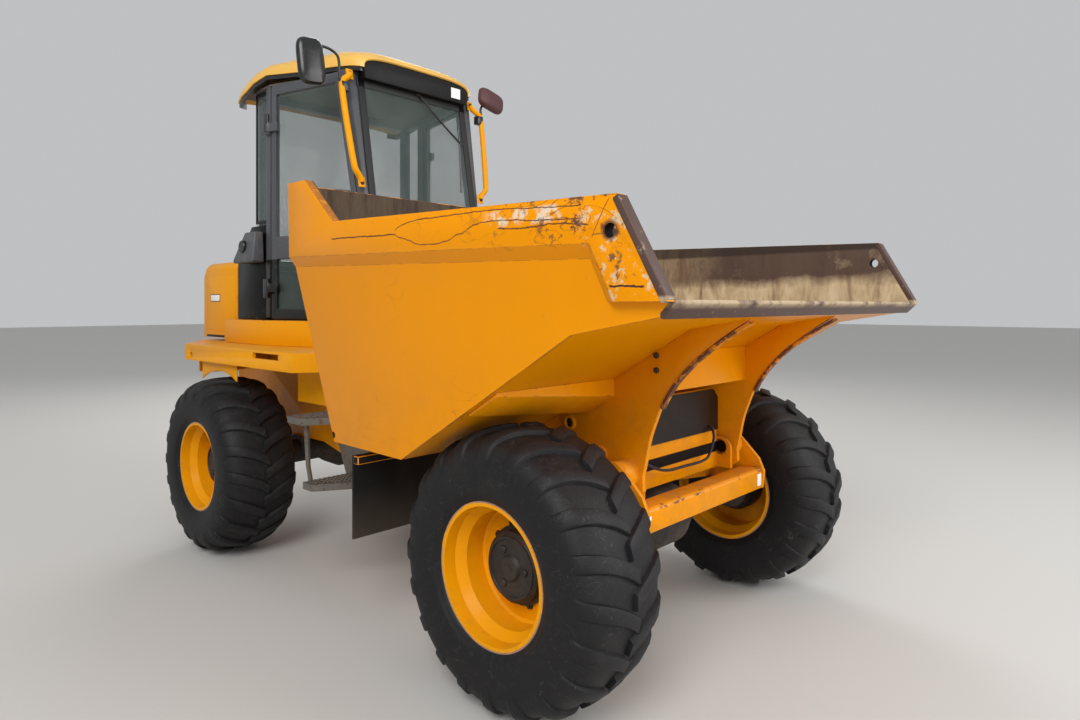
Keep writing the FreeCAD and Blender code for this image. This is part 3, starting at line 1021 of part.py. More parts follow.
for i in range(slat_count):
    low = f"{GRILLE[1]} + seat_gap + {i} * (({GRILLE[2]}) - ({GRILLE[1]}) - 2 * seat_gap - 14) / {slat_count - 1}"
    slats.append(block(f"grille_slat_{i}", ("0 - bonnet_back - 2", f"0 - {GRILLE[0]} + 1", low),
                       ("0 - bonnet_back + bonnet_wall - 2", f"{GRILLE[0]} - 1", f"{low} + 14")))
node(fused("bonnet_grille", *slats))
stand = block("bonnet_post", (f"{HOOD_AXIS[0]} - 12", "560", "deck_top"),
              (f"{HOOD_AXIS[0]} + 12", "600", f"{HOOD_AXIS[1]} + 12"))
node(fused("bonnet_posts", stand, mirrored(stand),
           rod("bonnet_pin", "9", (HOOD_AXIS[0], "0 - 660", HOOD_AXIS[1]), "1320")))

# Rams: each a barrel on its foot pin and a rod with a piston, open at the rod's eye

RAMS = [
    # (name, foot, eye, barrel radius, rod radius, barrel length, piston at rest from the foot, piston,
    #  eye radius, eye half width, pin radius, pin axis, gland above the barrel)
    ("tip_ram", ("0 - tip_ram_back", "0", "tip_ram_height"), ("0 - tip_eye_back", "0", "tip_eye_height"),
     "ram_bore", "rod_radius", "690", "70", "30", "46", "44", "25", "Y", "5"),
    ("steer_ram", ("0 - steer_ram_back", "0 - steer_ram_side", "steer_ram_height"),
     ("0 - steer_eye_back", "0 - steer_ram_side", "steer_ram_height"),
     "38", "20", "440", "216", "20", "34", "36", "20", "Z", "0"),
]
RAM_WALL = "9"
for name, foot, eye_at, outer, rod_size, barrel, piston_at, piston, eye_size, half, pin_size, axis, collar in RAMS:
    run = "sqrt(" + " + ".join(f"(({b}) - ({a})) ^ 2" for a, b in zip(foot, eye_at)) + ")"
    side = ("0", f"0 - {half}", "0") if axis == "Y" else ("0", "0", f"0 - {half}")
    past = ("0", f"0 - {half} - 20", "0") if axis == "Y" else ("0", "0", f"0 - {half} - 20")
    lean = FreeCAD.Vector(*[value(b) - value(a) for a, b in zip(foot, eye_at)])
    tube = rod(f"{name}_tube", outer, ("20", "0", "0"), f"{barrel} - 20", "X")
    gland = rod(f"{name}_gland", f"{outer} + {collar}", (f"{barrel} - 34", "0", "0"), "34", "X")
    foot_eye = rod(f"{name}_foot_eye", eye_size, side, f"2 * {half}", axis)
    bore = rod(f"{name}_bore", f"{outer} - {RAM_WALL}", (f"{piston_at if axis == 'Y' else '50'} - 8", "0", "0"),
               f"{barrel} - 34 - ({piston_at if axis == 'Y' else '50'} - 8) + 5", "X")
    throat = rod(f"{name}_throat", f"{rod_size} + run_gap", (f"{barrel} - 60", "0", "0"), "80", "X")
    foot_bore = rod(f"{name}_foot_bore", f"{pin_size} + run_gap", past, f"2 * {half} + 40", axis)
    barrel_item = cut(f"{name}_barrel", fused(f"{name}_barrel_solid", tube, gland, foot_eye), bore, throat, foot_bore)
    bar = rod(f"{name}_bar", rod_size, (f"{piston_at} - {run}", "0", "0"), f"{run} - {piston_at}", "X")
    head = rod(f"{name}_piston", f"{outer} - {RAM_WALL} - run_gap", (f"{piston_at} - {run}", "0", "0"), piston, "X")
    rod_eye = rod(f"{name}_rod_eye", eye_size, side, f"2 * {half}", axis)
    eye_bore = rod(f"{name}_eye_bore", f"{pin_size} + run_gap", past, f"2 * {half} + 40", axis)
    rod_item = cut(f"{name}_rod", fused(f"{name}_rod_solid", bar, head, rod_eye), eye_bore)
    for item, place in ((barrel_item, foot), (rod_item, eye_at)):
        item.Placement.Rotation = FreeCAD.Rotation(FreeCAD.Vector(1, 0, 0), lean)
        node(item, *place)

# Build, test and write every piece

doc.recompute()
failed = [item.Label for item in doc.Objects if {"Invalid", "Error"} & set(item.State)]
failed += [name for name, item in nodes.items() if item.Shape.isNull() or not item.Shape.isValid()]
if failed:
    raise RuntimeError("these did not build: " + ", ".join(failed))
os.makedirs("parts", exist_ok=True)
for name, item in nodes.items():
    item.Shape.exportStep(f"parts/{name}.step")
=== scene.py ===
import json
import math

import bmesh
import bpy
from mathutils import Matrix, Vector


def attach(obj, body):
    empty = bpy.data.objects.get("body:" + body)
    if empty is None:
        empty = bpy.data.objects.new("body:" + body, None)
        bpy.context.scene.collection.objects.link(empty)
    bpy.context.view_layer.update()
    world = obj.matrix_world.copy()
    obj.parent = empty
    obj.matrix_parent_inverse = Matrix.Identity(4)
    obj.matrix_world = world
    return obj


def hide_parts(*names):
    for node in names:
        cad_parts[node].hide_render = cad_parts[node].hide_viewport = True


# Articulated site dumper. Metres; X ahead, Y to the left, Z up, the ground at Z = 0.
# Outlines are in millimetres: x from the front axle, y from the middle plane, z from the ground.

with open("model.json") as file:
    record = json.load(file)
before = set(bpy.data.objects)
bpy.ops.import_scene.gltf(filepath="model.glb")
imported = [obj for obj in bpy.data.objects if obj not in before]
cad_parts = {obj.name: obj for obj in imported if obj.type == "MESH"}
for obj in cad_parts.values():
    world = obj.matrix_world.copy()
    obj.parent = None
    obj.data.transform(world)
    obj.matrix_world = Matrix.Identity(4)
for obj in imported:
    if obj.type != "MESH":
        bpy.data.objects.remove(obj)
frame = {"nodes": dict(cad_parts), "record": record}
NODES = frame["nodes"]
BEHAVIOUR = frame["record"]["behaviour"]
BODY_OF = {node: body for body, members in BEHAVIOUR["bodies"].items() for node in members}
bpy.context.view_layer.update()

WHEEL_AT = {joint["name"]: joint["pos_m"] for joint in BEHAVIOUR["joints"]
            if joint["name"].startswith("roll_")}
FRONT_AXLE, TRACK_HALF, AXLE_HEIGHT = WHEEL_AT["roll_front_left"]
REAR_AXLE = WHEEL_AT["roll_rear_left"][0]
CORNERS = {"front_right": (FRONT_AXLE, -1), "front_left": (FRONT_AXLE, 1),
           "rear_right": (REAR_AXLE, -1), "rear_left": (REAR_AXLE, 1)}


def front(x, y, z):
    """A point given in millimetres from the ground under the front axle."""
    return Vector((FRONT_AXLE + x / 1000, y / 1000, z / 1000))


# Camera: the photograph's place, lens and framing

PIXELS_WIDE = 1080
FOCAL_PIXELS = 713.8
HORIZON_PIXELS = -55.27
SENSOR_WIDE = 36.0
CAMERA_PLACE = (FRONT_AXLE + 2.0887, -3.1068, 1.6703)
CAMERA_AIM = (-0.680, 0.733, 0.0)

camera = bpy.data.objects.new("camera", bpy.data.cameras.new("camera"))
bpy.context.scene.collection.objects.link(camera)
camera.data.sensor_width = SENSOR_WIDE
camera.data.lens = SENSOR_WIDE * FOCAL_PIXELS / PIXELS_WIDE
camera.data.shift_y = HORIZON_PIXELS / PIXELS_WIDE
camera.location = CAMERA_PLACE
camera.rotation_mode = "QUATERNION"
camera.rotation_quaternion = Vector(CAMERA_AIM).to_track_quat("-Z", "Y")
bpy.context.scene.camera = camera


# How a finish is built

def srgb(red, green, blue):
    """A colour as a picture shows it, 0 to 255, as linear values."""
    def linear(level):
        return ((level / 255 + 0.055) / 1.055) ** 2.4 if level > 10 else level / 255 / 12.92
    return (linear(red), linear(green), linear(blue), 1.0)


class Finish:
    """One material, built node by node. Patterns read Object coordinates in metres."""

    def __init__(self, name, colour, rough=0.5, metal=0.0, **sockets):
        self.material = bpy.data.materials.new(name)
        self.material.use_nodes = True
        self.tree = self.material.node_tree
        self.shader = self.tree.nodes["Principled BSDF"]
        self.colour = colour
        self.rough = rough
        self.shader.inputs["Base Color"].default_value = colour
        self.shader.inputs["Roughness"].default_value = rough
        self.shader.inputs["Metallic"].default_value = metal
        for socket, amount in sockets.items():
            self.shader.inputs[socket.replace("_", " ")].default_value = amount
        self.place = self.add("ShaderNodeTexCoord")
        self.points = self.place.outputs["Object"]

    def add(self, kind, inputs=None, **settings):
        node = self.tree.nodes.new(kind)
        for setting, choice in settings.items():
            setattr(node, setting, choice)
        for socket, source in (inputs or {}).items():
            if isinstance(source, bpy.types.NodeSocket):
                self.tree.links.new(source, node.inputs[socket])
            else:
                node.inputs[socket].default_value = source
        return node

    def maths(self, operation, first, second=0.0, clamp=False):
        node = self.add("ShaderNodeMath", {0: first, 1: second}, operation=operation, use_clamp=clamp)
        return node.outputs[0]

    def mapped(self, **sockets):
        """The place moved, turned or scaled, for grain that runs one way."""
        return self.add("ShaderNodeMapping", {"Vector": self.points, **sockets}).outputs[0]

    def noise(self, scale, detail=4.0, rough=0.55, vector=None, warp=0.0):
        return self.add("ShaderNodeTexNoise", {
            "Vector": vector or self.points, "Scale": scale, "Detail": detail, "Roughness": rough,
            "Distortion": warp}).outputs["Fac"]

    def waves(self, scale, direction):
        return self.add("ShaderNodeTexWave", {"Vector": self.points, "Scale": scale},
                        bands_direction=direction).outputs["Fac"]

    def axis(self, letter, vector=None):
        return self.add("ShaderNodeSeparateXYZ", {0: vector or self.points}).outputs[letter]

    def ramp(self, source, low, high, invert=False):
        """0 below low, 1 above high, or the other way round."""
        node = self.add("ShaderNodeMapRange", {
            "Value": source, "From Min": low, "From Max": high,
            "To Min": float(invert), "To Max": float(not invert)})
        return node.outputs[0]

    def blotches(self, low, high, *noise, invert=False):
        """1 where a noise is above high: its scale, detail, roughness and grain are given."""
        return self.ramp(self.noise(*noise), low, high, invert)

    def past(self, letter, low, high):
        """1 beyond high along an axis."""
        return self.ramp(self.axis(letter), low, high)

    def short_of(self, letter, low, high):
        """1 before low along an axis."""
        return self.ramp(self.axis(letter), low, high, invert=True)

    def aside(self, low, high, invert=False):
        """1 farther than high from the middle plane."""
        return self.ramp(self.maths("ABSOLUTE", self.axis("Y")), low, high, invert)

    def facing_up(self, low, high):
        return self.ramp(self.axis("Z", self.place.outputs["Normal"]), low, high)

    def both(self, *masks):
        mask = masks[0]
        for other in masks[1:]:
            mask = self.maths("MULTIPLY", mask, other, clamp=True)
        return mask

    def start(self):
        """The colour so far, as a socket."""
        if isinstance(self.colour, tuple):
            self.colour = self.add("ShaderNodeRGB").outputs[0]
            self.colour.default_value = self.shader.inputs["Base Color"].default_value
        return self.colour

    def cover(self, mask, colour, rough=None, strength=1.0):
        """Lays a colour over what is there where the mask is white."""
        if strength != 1.0:
            mask = self.maths("MULTIPLY", mask, strength)
        mixed = self.add("ShaderNodeMix", data_type="RGBA")
        self.tree.links.new(mask, mixed.inputs[0])
        self.tree.links.new(self.start(), mixed.inputs[6])
        if isinstance(colour, tuple):
            mixed.inputs[7].default_value = colour
        else:
            self.tree.links.new(colour, mixed.inputs[7])
        self.colour = mixed.outputs[2]
        if rough is not None:
            blend = self.add("ShaderNodeMix", {0: mask, 2: self.rough, 3: rough}, data_type="FLOAT")
            self.rough = blend.outputs[0]

    def shade(self, mask, amount):
        """Makes the colour lighter or darker where the mask is white."""
        factor = self.add("ShaderNodeMapRange", {"Value": mask, "To Min": 1.0, "To Max": 1.0 + amount})
        scaled = self.add("ShaderNodeVectorMath", {0: self.start(), "Scale": factor.outputs[0]},
                          operation="SCALE")
        self.colour = scaled.outputs[0]

    def bump(self, height, depth, strength=1.0):
        """Raises the surface by depth, in metres, where height is 1."""
        node = self.add("ShaderNodeBump", {"Height": height, "Distance": depth, "Strength": strength})
        before = self.shader.inputs["Normal"].links
        if before:
            self.tree.links.new(before[0].from_socket, node.inputs["Normal"])
        self.tree.links.new(node.outputs[0], self.shader.inputs["Normal"])

    def done(self):
        if not isinstance(self.colour, tuple):
            self.tree.links.new(self.colour, self.shader.inputs["Base Color"])
        if not isinstance(self.rough, float):
            self.tree.links.new(self.rough, self.shader.inputs["Roughness"])
        return self.material


def chips(finish, scale, low, high, seed=0.0):
    """Ragged spots where paint is gone."""
    return finish.blotches(low, high, scale, 9.0, 0.68, finish.mapped(Location=(seed, -seed, seed)))


def thin_lines(finish, scale, width, warp=1.2, seed=0.0, grain=(1.0, 1.0, 1.0)):
    """Thin wandering lines, as scratches: where a soft noise crosses its middle value."""
    shifted = finish.mapped(Location=(seed, seed * 0.7, -seed), Scale=grain)
    wave = finish.noise(scale, 2.0, 0.4, shifted, warp)
    away = finish.maths("ABSOLUTE", finish.maths("SUBTRACT", wave, 0.5))
    return finish.ramp(away, width * 0.35, width, invert=True)


def reach_from(finish, x, z):
    """Distance from a place on the side of the machine, seen from the side."""
    along = finish.maths("SUBTRACT", finish.axis("X"), x)
    up = finish.maths("SUBTRACT", finish.axis("Z"), z)
    square = finish.maths("ADD", finish.maths("MULTIPLY", along, along), finish.maths("MULTIPLY", up, up))
    return finish.maths("SQRT", square)


def reach_from_axles(finish):
    """Distance from the nearer wheel axle, seen from the side."""
    reaches = [reach_from(finish, axle, AXLE_HEIGHT) for axle in (FRONT_AXLE, REAR_AXLE)]
    return finish.maths("MINIMUM", *reaches)


def spot(finish, x, z, inner, outer):
    """A round mark seen from the side: 1 within inner of the place, 0 beyond outer."""
    return finish.ramp(reach_from(finish, x, z), inner, outer, invert=True)


def stroke(finish, points, width):
    """A line drawn on a side face through points given as x and z, its edges uneven."""
    ragged, margin, end = 0.016, 0.02, 0.004
    xs, zs = zip(*points)
    start, stop = xs[0], xs[-1]
    low, high = min(zs) - margin, max(zs) + margin
    curve = finish.add("ShaderNodeFloatCurve", {"Value": finish.past("X", start, stop)})
    line = curve.mapping.curves[0]
    line.points[0].location = (0.0, (zs[0] - low) / (high - low))
    line.points[1].location = (1.0, (zs[-1] - low) / (high - low))
    for x, z in points[1:-1]:
        line.points.new((x - start) / (stop - start), (z - low) / (high - low))
    curve.mapping.update()
    height = finish.maths("ADD", finish.maths("MULTIPLY", curve.outputs[0], high - low), low)
    shake = finish.maths("MULTIPLY", finish.maths("SUBTRACT", finish.noise(26.0, 5.0, 0.7), 0.5), ragged)
    shaken = finish.maths("ADD", finish.axis("Z"), shake)
    away = finish.maths("ABSOLUTE", finish.maths("SUBTRACT", shaken, height))
    return finish.both(finish.ramp(away, width * 0.35, width * 0.65, invert=True),
                       finish.past("X", start - end, start + end),
                       finish.short_of("X", stop - end, stop + end))


# Finishes

RUST = srgb(104, 66, 48)
RUST_DARK = srgb(70, 46, 40)
DUST = srgb(150, 135, 112)
MUD = srgb(96, 84, 70)
CREAM = srgb(206, 190, 160)
YELLOW = srgb(236, 148, 0)


def enamel(name, colour, worn=0.5, dusty=0.5, rough=0.34):
    """Machine enamel: uneven colour, fine chips and scratches, and dust on what faces up."""
    finish = Finish(name, colour, rough, Specular_IOR_Level=0.10, Coat_Weight=0.02, Coat_Roughness=0.25)
    finish.shade(finish.noise(0.9, 3.0), -0.10)
    finish.shade(finish.noise(7.0, 5.0, 0.6, finish.mapped(Scale=(1.0, 1.0, 0.25))), -0.05)
    patches = finish.blotches(0.52, 0.66, 2.3, 4.0, 0.6)
    scratches = finish.both(thin_lines(finish, 5.0, 0.0035, 0.9, 3.1, (0.5, 0.5, 1.6)), patches)
    finish.cover(scratches, RUST_DARK, 0.6, 0.55 * worn)
    spots = finish.both(chips(finish, 34.0, 0.655, 0.69, 1.7), finish.blotches(0.50, 0.62, 3.1, 3.0))
    finish.cover(spots, RUST, 0.7, worn)
    film = finish.both(finish.facing_up(0.25, 0.9), finish.blotches(0.30, 0.75, 6.0, 6.0, 0.65))
    finish.cover(film, DUST, 0.75, 0.75 * dusty)
    low_dirt = finish.both(finish.short_of("Z", 0.95, 1.5), finish.blotches(0.42, 0.72, 9.0, 6.0, 0.7))
    finish.cover(low_dirt, MUD, 0.8, 0.45 * dusty)
    finish.bump(finish.noise(1.4, 2.0), 0.010, 0.5)
    finish.bump(finish.noise(160.0, 3.0), 0.0004, 0.25)
    return finish


def front_frame_enamel():
    """Enamel with painted shade in the bores where the skip's pins sit."""
    finish = enamel("front_frame_enamel", YELLOW)
    # painted shade: the walls of the pin bores darkened to stand for the shade inside them
    pin_bore_shade = spot(finish, FRONT_AXLE + 0.165, 0.900, 0.031, 0.034)
    finish.cover(finish.both(pin_bore_shade, finish.aside(0.50, 0.51, invert=True)), srgb(24, 19, 17), 0.7)
    return finish.done()


def rim_enamel():
    """Cleaner enamel, muddy towards the rim's edge and rubbed through on its flange."""
    finish = enamel("rim_enamel", srgb(238, 158, 2), 0.5, 0.06, 0.36)
    reach = reach_from_axles(finish)
    mud = finish.both(finish.blotches(0.52, 0.74, 14.0, 8.0, 0.7), finish.ramp(reach, 0.20, 0.29))
    finish.cover(mud, MUD, 0.8, 0.25)
    flange = finish.both(finish.ramp(reach, 0.2880, 0.2910), finish.blotches(0.34, 0.46, 9.0, 6.0, 0.7))
    finish.cover(flange, srgb(150, 120, 105), 0.55)
    return finish.done()


def flap_arm_enamel():
    """Enamel near the frame, black farther out."""
    finish = enamel("flap_arm_enamel", YELLOW)
    finish.cover(finish.aside(0.86, 0.90), srgb(30, 28, 27), 0.7)
    return finish.done()


def worn_edge(name, share):
    """An edge of painted plate: paint rubbed through in places to brown steel."""
    finish = Finish(name, YELLOW, 0.45, Specular_IOR_Level=0.45)
    finish.shade(finish.noise(5.0, 4.0), -0.12)
    bare = finish.blotches(0.60 - 0.2 * share, 0.66 - 0.2 * share, 11.0, 8.0, 0.72)
    finish.cover(bare, RUST, 0.7)
    finish.cover(chips(finish, 60.0, 0.62, 0.68), RUST_DARK, 0.75)
    finish.bump(finish.noise(90.0, 5.0), 0.0006, 0.5)
    return finish.done()


# the scratches along the rim band, as x, z and width
BAND_SCRATCHES = (
    ([(0.5725, 1.986), (0.8285, 1.980), (1.0765, 1.973)], 0.0060),
    ([(1.0765, 1.973), (1.2275, 2.022), (1.4365, 2.024), (1.6625, 2.024), (1.9255, 2.011),
      (2.12, 2.000)], 0.0042),
    ([(1.0765, 1.973), (1.1685, 1.944), (1.3275, 1.917), (1.5015, 1.945), (1.6625, 1.983),
      (1.9255, 1.966), (2.13, 1.958)], 0.0042),
    ([(1.72, 1.952), (1.84, 1.944), (1.99, 1.948), (2.15, 1.936)], 0.0050))
POST_CRACK = [(2.1655, 1.894), (2.20, 1.958), (2.2365, 2.015)]
POST_WELD = [(2.2365, 1.730), (2.30, 1.729), (2.3705, 1.727)]
POST_EYE = (2.2385, 1.910)
HEEL_HOLE = (0.5245, 1.035)


def scraped_band(finish, band):
    """Scratches, a worn patch and rust along the rim band, deepest in its front third."""
    high_band = finish.both(band, finish.past("Z", 1.84, 1.90))
    long_marks = finish.both(thin_lines(finish, 2.3, 0.004, 1.6, 0.4, (0.55, 0.2, 2.4)),
                             finish.blotches(0.53, 0.60, 1.3, 3.0))
    finish.cover(finish.both(long_marks, high_band), RUST_DARK, 0.65, 0.55)
    worn_patch = finish.both(band, finish.past("X", 1.63, 1.70), finish.short_of("X", 2.03, 2.10),
                             finish.past("Z", 1.952, 1.966), finish.short_of("Z", 2.008, 2.020),
                             chips(finish, 9.0, 0.44, 0.50, 2.2))
    finish.cover(worn_patch, srgb(214, 204, 184), 0.6, 0.85)
    for points, width in BAND_SCRATCHES:
        finish.cover(finish.both(stroke(finish, points, width), band), RUST_DARK, 0.65, 0.92)
    gouges = finish.both(thin_lines(finish, 7.5, 0.014, 1.5, 5.3, (0.6, 0.3, 1.3)), high_band,
                         finish.past("X", 1.35, 1.95))
    finish.cover(gouges, RUST_DARK, 0.7, 0.6)
    crust = finish.both(chips(finish, 16.0, 0.57, 0.62, 4.2), high_band, finish.past("X", 1.4, 2.1))
    finish.cover(crust, RUST, 0.75)


def marked_post(finish, band):
    """The front post: cream patches, an eye with a rusty ring and painted shade in its bore, a crack and a
    weld line. Painted shade in a hole near the heel.
    """
    post_face = finish.both(band, finish.past("X", 2.10, 2.14))
    finish.cover(finish.both(post_face, chips(finish, 20.0, 0.55, 0.60, 8.0)), CREAM, 0.65, 0.8)
    finish.cover(finish.both(post_face, chips(finish, 13.0, 0.56, 0.61, 9.4)), RUST, 0.75, 0.85)
    finish.cover(finish.both(band, spot(finish, *POST_EYE, 0.026, 0.040)), RUST, 0.75)
    # painted shade on the wall of the eye's bore
    eye_bore_shade = finish.both(finish.aside(1.20, 1.21), spot(finish, *POST_EYE, 0.0245, 0.0260))
    finish.cover(eye_bore_shade, srgb(22, 18, 17), 0.8)
    finish.cover(finish.both(band, stroke(finish, POST_CRACK, 0.006)), RUST_DARK, 0.7, 0.85)
    finish.cover(finish.both(band, stroke(finish, POST_WELD, 0.007)), RUST_DARK, 0.7)
    # painted shade: a dark disc standing for the shade inside a hole near the heel
    heel_hole_shade = finish.both(finish.aside(1.23, 1.236), spot(finish, *HEEL_HOLE, 0.014, 0.019))
    finish.cover(heel_hole_shade, srgb(26, 20, 16), 0.8)


def sandy_streaks(finish):
    """Colours of bare steel with sand rubbed along it."""
    slanted = finish.mapped(Rotation=(0.35, 0.35, 0.2), Scale=(1.3, 1.3, 0.30))
    streaks = finish.add("ShaderNodeValToRGB", {0: finish.noise(7.0, 8.0, 0.66, slanted, 0.6)})
    shades = streaks.color_ramp.elements
    shades[0].position, shades[0].color = 0.30, srgb(120, 96, 76)
    shades[1].position, shades[1].color = 0.62, srgb(214, 192, 158)
    shades.new(0.46).color = srgb(182, 158, 124)
    return streaks.outputs[0]


def dusty_inside(finish):
    """Bare steel inside: sandy low down, brown above, paler at the back, with a dark line at the top."""
    middle = (FRONT_AXLE - 0.30, 0.0, 1.80)
    to_middle = finish.add("ShaderNodeVectorMath", {0: middle, 1: finish.points}, operation="SUBTRACT")
    inward = finish.add("ShaderNodeVectorMath", {0: to_middle.outputs[0], 1: finish.place.outputs["Normal"]},
                        operation="DOT_PRODUCT")
    inside = finish.both(finish.ramp(inward.outputs["Value"], 0.0, 0.02),
                         finish.aside(1.2355, 1.2375, invert=True))
    finish.cover(inside, sandy_streaks(finish), 0.82)
    wavering = finish.maths("MULTIPLY", finish.noise(4.0, 6.0, 0.7), 0.16)
    height = finish.maths("ADD", finish.axis("Z"), wavering)
    upper = finish.both(inside, finish.ramp(height, 1.86, 1.93))
    finish.cover(upper, srgb(78, 60, 54), 0.85, 0.95)
    from_back = finish.maths("ADD", finish.axis("X"), finish.noise(3.0, 5.0, 0.7))
    pale = finish.ramp(from_back, 1.30, 1.75, invert=True)
    upright = finish.noise(10.0, 8.0, 0.7, finish.mapped(Scale=(1.4, 1.4, 0.22)))
    finish.cover(finish.both(upper, pale), srgb(150, 128, 100), 0.85, 0.95)
    finish.cover(finish.both(upper, pale, finish.ramp(upright, 0.46, 0.60)), srgb(92, 68, 54), 0.85, 0.85)
    finish.cover(finish.both(upper, pale, finish.ramp(upright, 0.30, 0.42, invert=True)),
                 srgb(196, 172, 136), 0.85, 0.8)
    finish.cover(finish.both(upper, chips(finish, 7.0, 0.58, 0.66, 3.7)), srgb(150, 130, 106), 0.85, 0.5)
    finish.cover(finish.both(inside, finish.past("Z", 1.985, 2.0)), srgb(52, 42, 38), 0.8, 0.8)
    return inside


def skip_enamel():
    """The skip: yellow outside, with its rim band scraped, and bare dusty steel inside."""
    finish = enamel("skip_enamel", YELLOW, 0.55, 0.3, 0.30)
    band = finish.aside(1.262, 1.272)
    scraped_band(finish, band)
    marked_post(finish, band)
    inside = dusty_inside(finish)
    top_edge = finish.both(finish.facing_up(0.6, 0.9), finish.past("Z", 1.95, 2.0),
                           finish.blotches(0.36, 0.52, 12.0, 7.0, 0.7))
    finish.cover(top_edge, RUST, 0.75, 0.9)
    finish.bump(finish.both(inside, finish.noise(70.0, 6.0, 0.7)), 0.0025, 0.7)
    finish.bump(finish.noise(0.85, 1.0), 0.030, 0.35)
    return finish.done()


def lip_steel():
    """Brown steel, with sand on the lip's upper edge."""
    finish = Finish("lip_steel", srgb(86, 61, 52), 0.5, 0.1)
    finish.shade(finish.noise(7.0, 5.0, 0.6), -0.30)
    finish.cover(chips(finish, 30.0, 0.60, 0.66, 6.0), srgb(150, 128, 104), 0.6, 0.7)
    sandy = finish.both(finish.past("Z", 1.655, 1.672), finish.short_of("Z", 1.69, 1.70),
                        finish.blotches(0.36, 0.50, 6.0, 7.0, 0.7))
    finish.cover(sandy, srgb(178, 156, 126), 0.75)
    finish.bump(finish.noise(60.0, 6.0, 0.7), 0.0014, 0.6)
    return finish.done()


def cab_frame_paint():
    """Grey paint on the posts, gloss black below the waist."""
    finish = Finish("cab_frame_paint", srgb(70, 71, 75), 0.42)
    finish.shade(finish.noise(3.0, 4.0), 0.25)
    finish.cover(finish.short_of("Z", 1.985, 1.995), srgb(13, 12, 11), 0.34)
    finish.cover(chips(finish, 40.0, 0.63, 0.68), srgb(120, 118, 112), 0.6, 0.6)
    finish.cover(finish.both(finish.facing_up(0.3, 0.9), finish.noise(9.0)), DUST, 0.8, 0.6)
    finish.bump(finish.noise(220.0), 0.0003, 0.3)
    return finish.done()


def black_moulding():
    finish = Finish("black_moulding", srgb(24, 24, 25), 0.30)
    finish.shade(finish.noise(5.0, 5.0), 0.35)
    finish.cover(finish.blotches(0.52, 0.74, 11.0, 8.0, 0.7), srgb(84, 78, 72), 0.75, 0.22)
    finish.cover(thin_lines(finish, 9.0, 0.004, 1.0, 7.7), srgb(110, 108, 104), 0.6, 0.3)
    finish.bump(finish.noise(420.0, 2.0), 0.0003, 0.4)
    return finish.done()


def panel_gloss():
    """Gloss black panels, scuffed at their foot."""
    finish = Finish("panel_gloss", srgb(10, 9, 8), 0.30, Specular_IOR_Level=0.14)
    finish.cover(finish.blotches(0.55, 0.78, 9.0, 7.0, 0.7), srgb(60, 54, 48), 0.6, 0.18)
    scuffs = finish.both(finish.short_of("Z", 1.56, 1.66), thin_lines(finish, 9.0, 0.010, 1.2, 2.6))
    finish.cover(scuffs, srgb(120, 116, 110), 0.6, 0.5)
    return finish.done()


def tower_cover_brown():
    finish = Finish("tower_cover_brown", srgb(24, 15, 11), 0.35, Specular_IOR_Level=0.25)
    # lighter brown patches: painted sheen
    finish.cover(finish.blotches(0.48, 0.72, 7.0, 7.0, 0.7), srgb(70, 50, 32), 0.6, 0.35)
    finish.bump(finish.noise(60.0, 4.0), 0.0006, 0.4)
    return finish.done()


def visor_black():
    finish = Finish("visor_black", srgb(13, 12, 13), 0.5, Specular_IOR_Level=0.25)
    finish.cover(finish.blotches(0.55, 0.75, 8.0, 7.0, 0.7), srgb(70, 62, 56), 0.7, 0.25)
    return finish.done()


def roof_lining():
    finish = Finish("roof_lining", srgb(104, 100, 94), 0.8)
    finish.shade(finish.noise(5.0, 6.0, 0.6), -0.35)
    return finish.done()


def pod_moulding():
    finish = Finish("pod_moulding", srgb(72, 74, 79), 0.5)
    finish.shade(finish.noise(4.0, 4.0), 0.2)
    finish.cover(finish.blotches(0.5, 0.75, 12.0, 7.0, 0.7), DUST, 0.8, 0.35)
    finish.bump(finish.noise(500.0, 2.0), 0.0003, 0.5)
    return finish.done()


def rubber_seal():
    finish = Finish("rubber_seal", srgb(24, 24, 25), 0.6)
    finish.shade(finish.noise(6.0, 4.0), 0.4)
    finish.bump(finish.noise(260.0, 3.0), 0.0003, 0.4)
    return finish.done()


def flap_rubber():
    """Flat rubber, with mud low down."""
    finish = Finish("flap_rubber", srgb(20, 19, 18), 0.6, Specular_IOR_Level=0.3)
    grain = finish.mapped(Scale=(1.0, 1.0, 0.4))
    finish.cover(finish.blotches(0.48, 0.72, 5.0, 7.0, 0.68, grain), srgb(54, 49, 44), 0.85, 0.45)
    finish.cover(finish.short_of("Z", 0.53, 0.78), MUD, 0.9, 0.4)
    finish.bump(finish.noise(45.0, 5.0), 0.0012, 0.5)
    return finish.done()


def tyre_rubber():
    """Dark rubber, paler and dustier towards the tread."""
    finish = Finish("tyre_rubber", srgb(17, 16, 18), 0.58, Specular_IOR_Level=0.3)
    reach = reach_from_axles(finish)
    finish.shade(finish.noise(3.0, 5.0), 0.25)
    finish.cover(finish.ramp(reach, 0.545, 0.578), srgb(29, 29, 32), 0.60, 0.75)
    dust = finish.both(finish.blotches(0.50, 0.72, 7.0, 8.0, 0.7), finish.ramp(reach, 0.50, 0.56))
    finish.cover(dust, srgb(66, 62, 58), 0.82, 0.26)
    finish.cover(finish.blotches(0.56, 0.68, 2.2, 5.0, 0.6), srgb(56, 52, 46), 0.85, 0.14)
    finish.cover(thin_lines(finish, 14.0, 0.005, 1.0, 2.0), srgb(100, 98, 96), 0.7, 0.22)
    finish.bump(finish.noise(38.0, 6.0, 0.65), 0.0012, 0.5)
    finish.bump(finish.noise(300.0, 3.0), 0.0003, 0.4)
    return finish.done()


